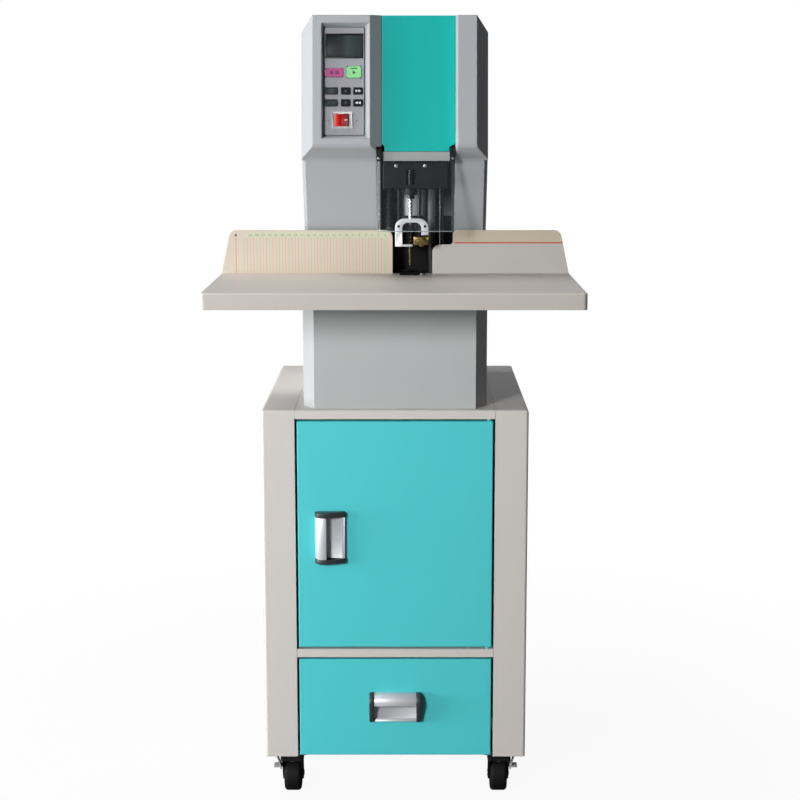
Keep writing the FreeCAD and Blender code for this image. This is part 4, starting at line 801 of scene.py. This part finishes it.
def makeDisplay():
    s = displaySizes
    rim = slab("displayFrame", s)
    sink(rim, facesFront, s["rim"], (0, s["well"], 0))
    softEdges(rim, s["soft"])
    finishPiece(leanBack(rim), "machine", frameGloss)
    inner = s["rim"] + s["paneGap"]
    pane = block("displayPane", (s["x"][0] + inner, s["front"] + s["paneFront"], s["z"][0] + inner),
                 (s["x"][1] - inner, s["front"] + s["paneBack"], s["z"][1] - inner))
    softEdges(pane, s["paneSoft"])
    finishPiece(leanBack(pane), "machine", lcdDark)
    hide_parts("display")


makeDisplay()
print("display made")

# keys: two large ones above, then three columns in two rows
keySizes = {"front": 7.4, "back": 11.2, "corner": 3.4, "edge": 0.55, "rim": 1, "well": 0.25,
            "inkRise": 0.12, "finish": navyKey, "ink": dimInk, "slot": "key_navy"}
columns = {"left": (-105.5, -86), "middle": (-81, -67), "right": (-62.5, -48)}
rows = {"upper": (79.75, 90.25), "lower": (61.75, 72.25)}
keyPlaces = {
    "key_red": {"x": (-105, -78), "z": (106, 119), "mark": "stop", "finish": pinkKey, "ink": paleInk,
                "slot": "key_pink"},
    "key_green": {"x": (-72, -50.5), "z": (104.5, 122.5), "mark": "go", "finish": greenKey, "ink": darkInk,
                  "slot": "key_green"},
    "key_menu": {"x": columns["left"], "z": rows["upper"], "mark": "bars", "finish": greyKey},
    "key_plus": {"x": columns["middle"], "z": rows["upper"], "mark": "up"},
    "key_forward": {"x": columns["right"], "z": rows["upper"], "mark": "pair", "ink": whiteInk},
    "key_mode": {"x": columns["left"], "z": rows["lower"], "mark": "dashes", "finish": greyKey},
    "key_minus": {"x": columns["middle"], "z": rows["lower"], "mark": "down"},
    "key_back": {"x": columns["right"], "z": rows["lower"], "mark": "pairBack", "ink": whiteInk},
}
# each sign is made of small discs: sides, radius, stretch, turn and place on the key
keyMarks = {
    "stop": [(4, 3.2, (1.2, 1), 45, (-4, 0)), (4, 3.2, (1.2, 1), 45, (4.5, 0))],
    "go": [(3, 3.2, (1, 1), -90, (-0.5, -0.8)), (4, 1.6, (4.2, 0.7), 45, (-0.5, 5.2))],
    "bars": [(4, 1, (6.5, 0.7), 45, (0, height)) for height in (2, 0, -2)],
    "dashes": [(4, 1, (2.6, 0.7), 45, (-3, 0)), (4, 1, (2.6, 0.7), 45, (3, 0))],
    "up": [(3, 2.2, (1, 1), 0, (0, -0.3))],
    "down": [(3, 2.2, (1, 1), 180, (0, 0.3))],
    "pair": [(3, 2.6, (1, 1), -90, (-2.6, 0)), (3, 2.6, (1, 1), -90, (1.9, 0))],
    "pairBack": [(3, 2.6, (1, 1), 90, (-1.9, 0)), (3, 2.6, (1, 1), 90, (2.6, 0))],
}


def markShape(disc, centre):
    s = keySizes
    sides, radius, stretch, turn, offset = disc
    sign = drum("keySign", (0, 0, 0), radius, s["inkRise"], "z", sides)
    sign.rotation_euler = (0, 0, radians(turn))
    settle(sign)
    sign.scale = (stretch[0], stretch[1], 1)
    settle(sign)
    sign.rotation_euler = (pi / 2, 0, 0)
    y = s["front"] + s["well"] - s["inkRise"] / 2
    sign.location = metres((centre[0] + offset[0], y, centre[1] + offset[1]))
    return settle(sign)


def makeKey(name, place):
    s = {**keySizes, **place}
    pad = dishedPlate(name + "Pad", s, 5)
    finishPiece(pad, name + "_body", s["finish"])
    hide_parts(name)
    centre = (sum(s["x"]) / 2, sum(s["z"]) / 2)
    signs = [markShape(disc, centre) for disc in keyMarks[s["mark"]]]
    finishPiece(leanBack(joined(signs, name + "Mark")), name + "_body", s["ink"])


for name, place in keyPlaces.items():
    makeKey(name, place)
print("keys made")

# the rocker switch lies on its side: its raised half with the on mark is at the right
bezelSizes = {"x": (-95, -64), "z": (28.5, 53.5), "front": 7, "back": 9, "corner": 1.6, "edge": 0.7,
              "rim": 2.1, "well": 6}
rockerSizes = {"x": (-91.5, -67.5), "z": (31.8, 50.2), "middle": -79.5, "front": 7, "back": 16,
               "valley": 1.7, "crest": 2.7, "pullLeft": 1.2, "pullRight": 2.7, "pullBack": 0.9,
               "pivotRound": 2.5, "soft": 0.5}
onBarSizes = {"low": (-75.8, 5.85, 40.5), "high": (-71.6, 6.3, 41.5), "rise": 0.95, "dip": 0.55}
offRingSizes = {"place": (-86.3, 7.7, 41), "radius": 1.9, "thick": 0.22, "turn": 8}
dotSizes = {"x": {"Left": -100.5, "Right": -57}, "y": 8.95, "z": 40.5, "radius": 0.9, "depth": 0.3,
            "soft": 0.1}


def makeSwitch():
    finishPiece(dishedPlate("bezelFrame", bezelSizes, 4), "machine", whitePlastic)
    s = rockerSizes
    left, right = s["x"]
    paddle = slab("rockerPaddle", s)
    cutAt(paddle, "x", s["middle"])
    front, back = s["front"] + near, s["back"] - near
    shift(paddle, lambda p: abs(p.x - s["middle"]) < near and p.y < front, (0, s["valley"], 0))
    shift(paddle, lambda p: p.x > right - near and p.y < front, (-s["pullRight"], -s["crest"], 0))
    shift(paddle, lambda p: p.x < left + near and p.y < front, (s["pullLeft"], 0, 0))
    shift(paddle, lambda p: p.x < left + near and p.y > back, (s["pullBack"], 0, 0))
    shift(paddle, lambda p: p.x > right - near and p.y > back, (-s["pullBack"], 0, 0))
    roundEdges(paddle, both(lambda p: abs(p.x - s["middle"]) < near and p.y < back), s["pivotRound"], 5)
    softEdges(paddle, s["soft"])
    finishPiece(leanBack(paddle), "rocker", rockerRed)
    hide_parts("power_rocker")
    s = onBarSizes
    bar = block("rockerOnBar", s["low"], s["high"])
    middle = (s["low"][0] + s["high"][0]) / 2
    shift(bar, lambda p: p.x > middle, (0, -s["rise"], 0))
    shift(bar, lambda p: p.x < middle, (0, s["dip"], 0))
    finishPiece(leanBack(bar), "rocker", whiteInk)
    s = offRingSizes
    restAll()
    bpy.ops.mesh.primitive_torus_add(major_radius=s["radius"] * mm, minor_radius=s["thick"] * mm,
                                     major_segments=24, minor_segments=6, location=metres(s["place"]),
                                     rotation=(pi / 2, 0, radians(s["turn"])))
    ring = bpy.context.object
    ring.name = "rockerOffRing"
    finishPiece(leanBack(settle(ring)), "rocker", rockerRed)
    s = dotSizes
    for spot, x in s["x"].items():
        dot = drum("panelDot" + spot, (x, s["y"], s["z"]), s["radius"], s["depth"], "y", 16)
        softEdges(dot, s["soft"])
        finishPiece(leanBack(dot), "machine", darkInk)


makeSwitch()
print("switch made")

# the scale's numbers, in centimetres from the drill's axis, and the dot at its left end
numberSizes = {"first": 4, "last": 25, "pitch": 10, "foot": 897.3, "text": 5.6, "rise": 0.1, "lift": 0.05,
               "dot": (-248.7, 899.4), "dotRadius": 1.6, "dotDepth": 0.14, "dotSoft": 0.04}


def makeNumbers():
    s = numberSizes
    y = boxOf("fence_left")[0].y - s["lift"]
    made = []
    for number in range(s["first"], s["last"] + 1):
        restAll()
        bpy.ops.object.text_add(location=metres((drillX - number * s["pitch"], y, s["foot"])),
                                rotation=(pi / 2, 0, 0))
        text = bpy.context.object
        text.data.body = str(number)
        text.data.size = s["text"] * mm
        text.data.align_x = "CENTER"
        text.data.extrude = s["rise"] / 2 * mm
        bpy.ops.object.convert(target="MESH")
        made.append(settle(bpy.context.object))
    finishPiece(joined(made, "scaleNumbers"), "machine", greenInk)
    dot = drum("scaleMark", (s["dot"][0], y, s["dot"][1]), s["dotRadius"], s["dotDepth"], "y", 16)
    softEdges(dot, s["dotSoft"])
    finishPiece(dot, "machine", darkInk)


makeNumbers()
print("numbers made")

# inside the window: a black sheet of painted shade behind the drill, and the strip before the dies
shadeSheetSizes = {"low": (-27.4, 4, 839.2), "high": (91.4, 5.6, 927), "lip": 6, "lipDeep": 1.2, "soft": 0.3}
stripSizes = {"low": (-4, -4, 839.1), "high": (31, -2.6, 841.6), "soft": 0.4}


def makeGuard():
    s = shadeSheetSizes
    fold = s["high"][2] - s["lip"]
    shadeSheet = block("paintedShadeSheet", s["low"], s["high"])
    cutAt(shadeSheet, "z", fold)
    sink(shadeSheet, lambda c, n: facesFront(c, n) and c.z > fold, 0, (0, -s["lipDeep"], 0))
    softEdges(shadeSheet, s["soft"])
    finishPiece(shadeSheet, "machine", casterNylon)
    strip = block("dieStrip", stripSizes["low"], stripSizes["high"])
    softEdges(strip, stripSizes["soft"])
    finishPiece(strip, "machine", dimSteel)


# a painted highlight: an opaque pale strip along the clear shield's lower edge
shieldEdgeSizes = {"inset": 3.5, "height": 1.2, "depth": 1, "proud": 0.12, "soft": 0.3}


def makeShieldEdge():
    s = shieldEdgeSizes
    low, high = boxOf("clear_shield")
    edge = block("shieldEdge", (low.x + s["inset"], low.y - s["proud"], low.z),
                 (high.x - s["inset"], low.y + s["depth"], low.z + s["height"]))
    softEdges(edge, s["soft"])
    finishPiece(edge, "shield", acrylicEdgeHighlight)


# the presser foot: an arch on two pins with one short leg, a pad on its long leg and a dark insert behind
padSizes = {"width": 11.2, "height": 22, "proud": 0.5, "behind": 0.2, "step": 7, "draft": 1.2,
            "corner": 1.6, "rim": 1.6, "well": 0.25, "soft": 0.25}
archSizes = {"height": 43, "leg": 11, "crown": 6, "shoulder": 15, "inner": 9, "shortLeg": 17.5,
             "sill": 3, "sillReach": 27, "bore": 3.5, "boreLong": 60, "soft": 0.7, "screwX": 5.4,
             "screwZ": 31, "screwScale": 0.62}
pinSizes = {"x": (6, 46), "radius": 2.5, "soft": 0.5}
insertSizes = {"x": (11.2, 40.3), "z": (3.5, 36), "back": 1, "thick": 3, "slot": 8.6, "step": 20,
               "rim": 1.8, "proud": 2.2, "soft": 0.4}


def makePad():
    s = padSizes
    low, high = boxOf("presser_foot")
    step, top = low.z + s["step"], low.z + s["height"]
    pad = block("footPad", (low.x, low.y - s["proud"], low.z),
                (low.x + s["width"], high.y + s["behind"], top))
    cutAt(pad, "z", step)
    shift(pad, lambda p: p.x < low.x + near and p.z > top - near, (s["draft"], 0, 0))
    roundEdges(pad, lambda a, b: runsBack(a, b) and abs(a.z - step) > near, s["corner"])
    sink(pad, lambda c, n: facesFront(c, n) and c.z > step, s["rim"], (0, s["well"], 0))
    softEdges(pad, s["soft"])
    finishPiece(pad, "foot", whitePlastic)


def makeArch():
    s = archSizes
    low, high = boxOf("presser_foot")
    base, top = low.z, low.z + s["height"]
    middleY, front, back = (low.y + high.y) / 2, low.y - 1, high.y + 1
    inside = (low.x + s["leg"], high.x - s["leg"])
    crown = top - s["crown"]
    arch = block("footArch", low, (high.x, high.y, top))
    roundEdges(arch, lambda a, b: runsBack(a, b) and a.z > top - near, s["shoulder"], 12)
    hollow = block("footHollow", (inside[0], front, base + s["sill"]), (inside[1], back, crown))
    roundEdges(hollow, lambda a, b: runsBack(a, b) and a.z > crown - near, s["inner"], 10)
    takeAway(arch, hollow)
    takeAway(arch, block("footShort", (inside[1] - near, front, base - 1),
                         (high.x + 1, back, base + s["shortLeg"])))
    takeAway(arch, block("footSill", (low.x + s["sillReach"], front, base - 1),
                         (high.x, back, base + s["sill"] + near)))
    takeAway(arch, drum("footBore", (drillX, middleY, (base + top) / 2), s["bore"], s["boreLong"], "z", 40))
    softEdges(arch, s["soft"], 3)
    finishPiece(arch, "foot", castAluminium)
    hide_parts("presser_foot")
    places = [(x, low.y, base + s["screwZ"]) for x in (low.x + s["screwX"], high.x - s["screwX"])]
    placeScrews("footScrews", places, "foot", blackSteel, scale=s["screwScale"])
    pinFoot = top - s["shoulder"] / 2
    s = pinSizes
    pins = []
    for x in s["x"]:
        place = (x, middleY, (pinFoot + high.z) / 2)
        pins.append(drum("footPin", place, s["radius"], high.z - pinFoot, "z", 28))
        softEdges(pins[-1], s["soft"])
    finishPiece(joined(pins, "footPins"), "foot", blackSteel)


def makeInsert():
    s = insertSizes
    low, high = boxOf("presser_foot")
    back, step, halfSlot = high.y - s["back"], low.z + s["step"], s["slot"] / 2
    insert = block("footInsert", (s["x"][0], back - s["thick"], low.z + s["z"][0]),
                   (s["x"][1], back, low.z + s["z"][1]))
    for side in (-1, 1):
        cutAt(insert, "x", drillX + side * halfSlot)
    cutAt(insert, "z", step)
    sink(insert, lambda c, n: facesFront(c, n) and abs(c.x - drillX) > halfSlot and c.z > step, s["rim"],
         (0, -s["proud"], 0))
    softEdges(insert, s["soft"])
    finishPiece(insert, "foot", blackSteel)


# the rivet station: a stepped brass block with a nose below, an eye in front and its ram above
stationSizes = {"x": (28.5, 51.5), "z": (3, 15.5), "corner": 2, "stepX": 44.5, "step": 4.5, "stepDeep": 3,
                "soft": 0.6, "noseX": 41, "nose": 4, "noseSoft": 0.4}
eyeSizes = {"x": 34.6, "z": 9, "radius": 3.9, "rim": 1.1, "deep": 2.4, "proud": 0.02, "web": 0.4,
            "soft": 0.2}
ramSizes = {"x": 37.5, "radius": 2.5, "rim": 0.5, "soft": 0.5}


def makeRivetStation():
    low, high = boxOf("rivet_head")
    middleY = (low.y + high.y) / 2
    s = stationSizes
    bottom, top = low.z + s["z"][0], low.z + s["z"][1]
    body = block("rivetBody", (s["x"][0], low.y, bottom), (s["x"][1], high.y, top))
    cutAt(body, "x", s["stepX"])
    step = top - s["step"]
    cutAt(body, "z", step)
    sink(body, lambda c, n: facesFront(c, n) and c.x > s["stepX"] and c.z > step, 0, (0, s["stepDeep"], 0))
    roundEdges(body, lambda a, b: abs(a.z - b.z) > s["step"] + near and min(a.y, b.y) > high.y - near,
               s["corner"], 4)
    softEdges(body, s["soft"])
    nose = drum("rivetNose", (s["noseX"], middleY, (low.z + bottom) / 2), s["nose"], bottom - low.z, "z", 40)
    softEdges(nose, s["noseSoft"])
    station = joined([body, nose], "rivetBody")
    finishPiece(station, "riveter", machinedBrass)
    s = eyeSizes
    place = (s["x"], low.y + s["deep"] / 2 - s["proud"], low.z + s["z"])
    eye = drum("rivetEye", place, s["radius"], s["deep"], "y", 40)
    sink(eye, facesFront, s["rim"], (0, s["deep"] - s["web"], 0))
    softEdges(eye, s["soft"])
    finishPiece(eye, "riveter", blackSteel)
    s = ramSizes
    ram = drum("rivetRam", (s["x"], middleY, (top + high.z) / 2), s["radius"], high.z - top, "z", 32)
    pickFaces(ram, lambda c, n: n.z > 0.9)
    insetBy(s["rim"])
    leaveEdit()
    softEdges(ram, s["soft"])
    finishPiece(ram, "riveter", dimSteel)
    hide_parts("rivet_head")


makeGuard()
makeShieldEdge()
makePad()
makeArch()
makeInsert()
makeRivetStation()
print("window pieces made")

# the small latch at the top of the teal cover
latchSizes = {"x": (-5, -1), "y": (34, 46), "z": (-4, -0.1), "round": 0.8}


def makeLatch():
    s = latchSizes
    low, high = boxOf("front_cover")
    bottom = high.z + s["z"][0]
    latch = block("coverLatch", (high.x + s["x"][0], low.y + s["y"][0], bottom),
                  (high.x + s["x"][1], low.y + s["y"][1], high.z + s["z"][1]))
    roundEdges(latch, both(lambda p: p.z > bottom + near), s["round"])
    finishPiece(latch, "machine", casterNylon)


makeLatch()
print("latch made")

# floor, light and camera, in metres
floorLook = {"size": 30, "place": (0, 6, 0), "seen": "#D8D8D8", "bounced": "#5E5E5E", "rough": 0.9,
             "spread": (0.35, 1.5), "glow": (0.93, 1)}
roomLook = {"tint": "#F2F5FA", "axis": (0.7, -0.7, -0.1), "span": (-0.8, 0.8), "light": (0.2, 0.03),
            "shine": (0.5, 0.08)}
lamps = {
    "keyFront": {"place": (-1.95, -3.38, 1.68), "aim": (0, 0, 0.45), "size": 0.85, "power": 120},
    "sideLeft": {"place": (-3.3, -0.75, 0.55), "aim": (0, 0, 0.6), "size": 1.4, "power": 112},
    "topLeft": {"place": (-1.2, -0.1, 3.4), "aim": (0, 0, 0.8), "size": 1.2, "power": 46},
    # the fill only lifts the shade at the rear: surfaces show no mirror image of it
    "rearFill": {"place": (2, 3, 0.5), "aim": (0, 0, 0.65), "size": 0.8, "power": 64, "mirrored": False},
}
view = {"place": (0.022, -2.518, 1.107), "pitch": 8.97, "focalPixels": 1594.5, "picture": 800,
        "axisPixel": (409.3, 352), "sensor": 36}


# a pale floor that glows white to the camera, still takes the object's shadow and throws little light back
def makeFloor():
    look = floorLook
    restAll()
    bpy.ops.mesh.primitive_plane_add(size=look["size"], location=look["place"])
    floor = bpy.context.object
    floor.name = "floor"
    settle(floor)
    material, tree, shader = newMaterial("matWhiteFloor", {"Roughness": look["rough"]})
    seen = addNode(tree, "LightPath").outputs["Is Camera Ray"]
    feed(shader, "Base Color", mixColours(tree, seen, look["bounced"], look["seen"]))
    away = addNode(tree, "VectorMath", {"operation": "LENGTH"}, {"0": objectPlace(tree)})
    spread = mapRange(tree, away.outputs["Value"], look["spread"], look["glow"], smooth=True)
    glow = addNode(tree, "Emission", {"Color": (1, 1, 1, 1), "Strength": 1})
    blend = addNode(tree, "MixShader", None, {"0": maths(tree, "MULTIPLY", seen, spread),
                                              "1": shader.outputs[0], "2": glow.outputs[0]})
    tree.links.new(blend.outputs[0], tree.nodes["Material Output"].inputs["Surface"])
    floor.data.materials.append(material)
    floor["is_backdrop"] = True


# soft light from the room, bright behind and at the left, dark at the front right; the camera sees it white
def makeRoom():
    look = roomLook
    world = bpy.data.worlds.new("studioWorld")
    bpy.context.scene.world = world
    world.use_nodes = True
    tree = world.node_tree
    turned = addNode(tree, "VectorMath", {"operation": "DOT_PRODUCT", "1": look["axis"]},
                     {"0": objectPlace(tree)}).outputs["Value"]
    rays = addNode(tree, "LightPath").outputs
    level = addNode(tree, "Mix", {"data_type": "FLOAT"},
                    {"0": rays["Is Glossy Ray"], "2": mapRange(tree, turned, look["span"], look["light"]),
                     "3": mapRange(tree, turned, look["span"], look["shine"])})
    ambient = tree.nodes["Background"]
    ambient.inputs["Color"].default_value = colour(look["tint"])
    tree.links.new(level.outputs[0], ambient.inputs["Strength"])
    white = addNode(tree, "Background", {"Color": (1, 1, 1, 1), "Strength": 1})
    seen = maths(tree, "MAXIMUM", rays["Is Camera Ray"], rays["Is Transmission Ray"])
    blend = addNode(tree, "MixShader", None, {"0": seen, "1": ambient.outputs[0], "2": white.outputs[0]})
    tree.links.new(blend.outputs[0], tree.nodes["World Output"].inputs["Surface"])


def makeLamps():
    for name, lamp in lamps.items():
        restAll()
        bpy.ops.object.light_add(type="AREA", location=lamp["place"])
        light = bpy.context.object
        light.name = name
        light.data.size = lamp["size"]
        light.data.energy = lamp["power"]
        light.visible_glossy = lamp.get("mirrored", True)
        aim = Vector(lamp["aim"]) - Vector(lamp["place"])
        light.rotation_euler = aim.to_track_quat("-Z", "Y").to_euler()


def makeCamera():
    s = view
    restAll()
    bpy.ops.object.camera_add(location=s["place"], rotation=(radians(90 - s["pitch"]), 0, 0))
    camera = bpy.context.object
    camera.data.sensor_width = s["sensor"]
    camera.data.lens = s["focalPixels"] * s["sensor"] / s["picture"]
    camera.data.shift_x = (s["picture"] / 2 - s["axisPixel"][0]) / s["picture"]
    camera.data.shift_y = (s["axisPixel"][1] - s["picture"] / 2) / s["picture"]
    bpy.context.scene.camera = camera
    bpy.context.scene.view_settings.view_transform = "Standard"


makeFloor()
makeRoom()
makeLamps()
makeCamera()
print("studio made")

low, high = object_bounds()
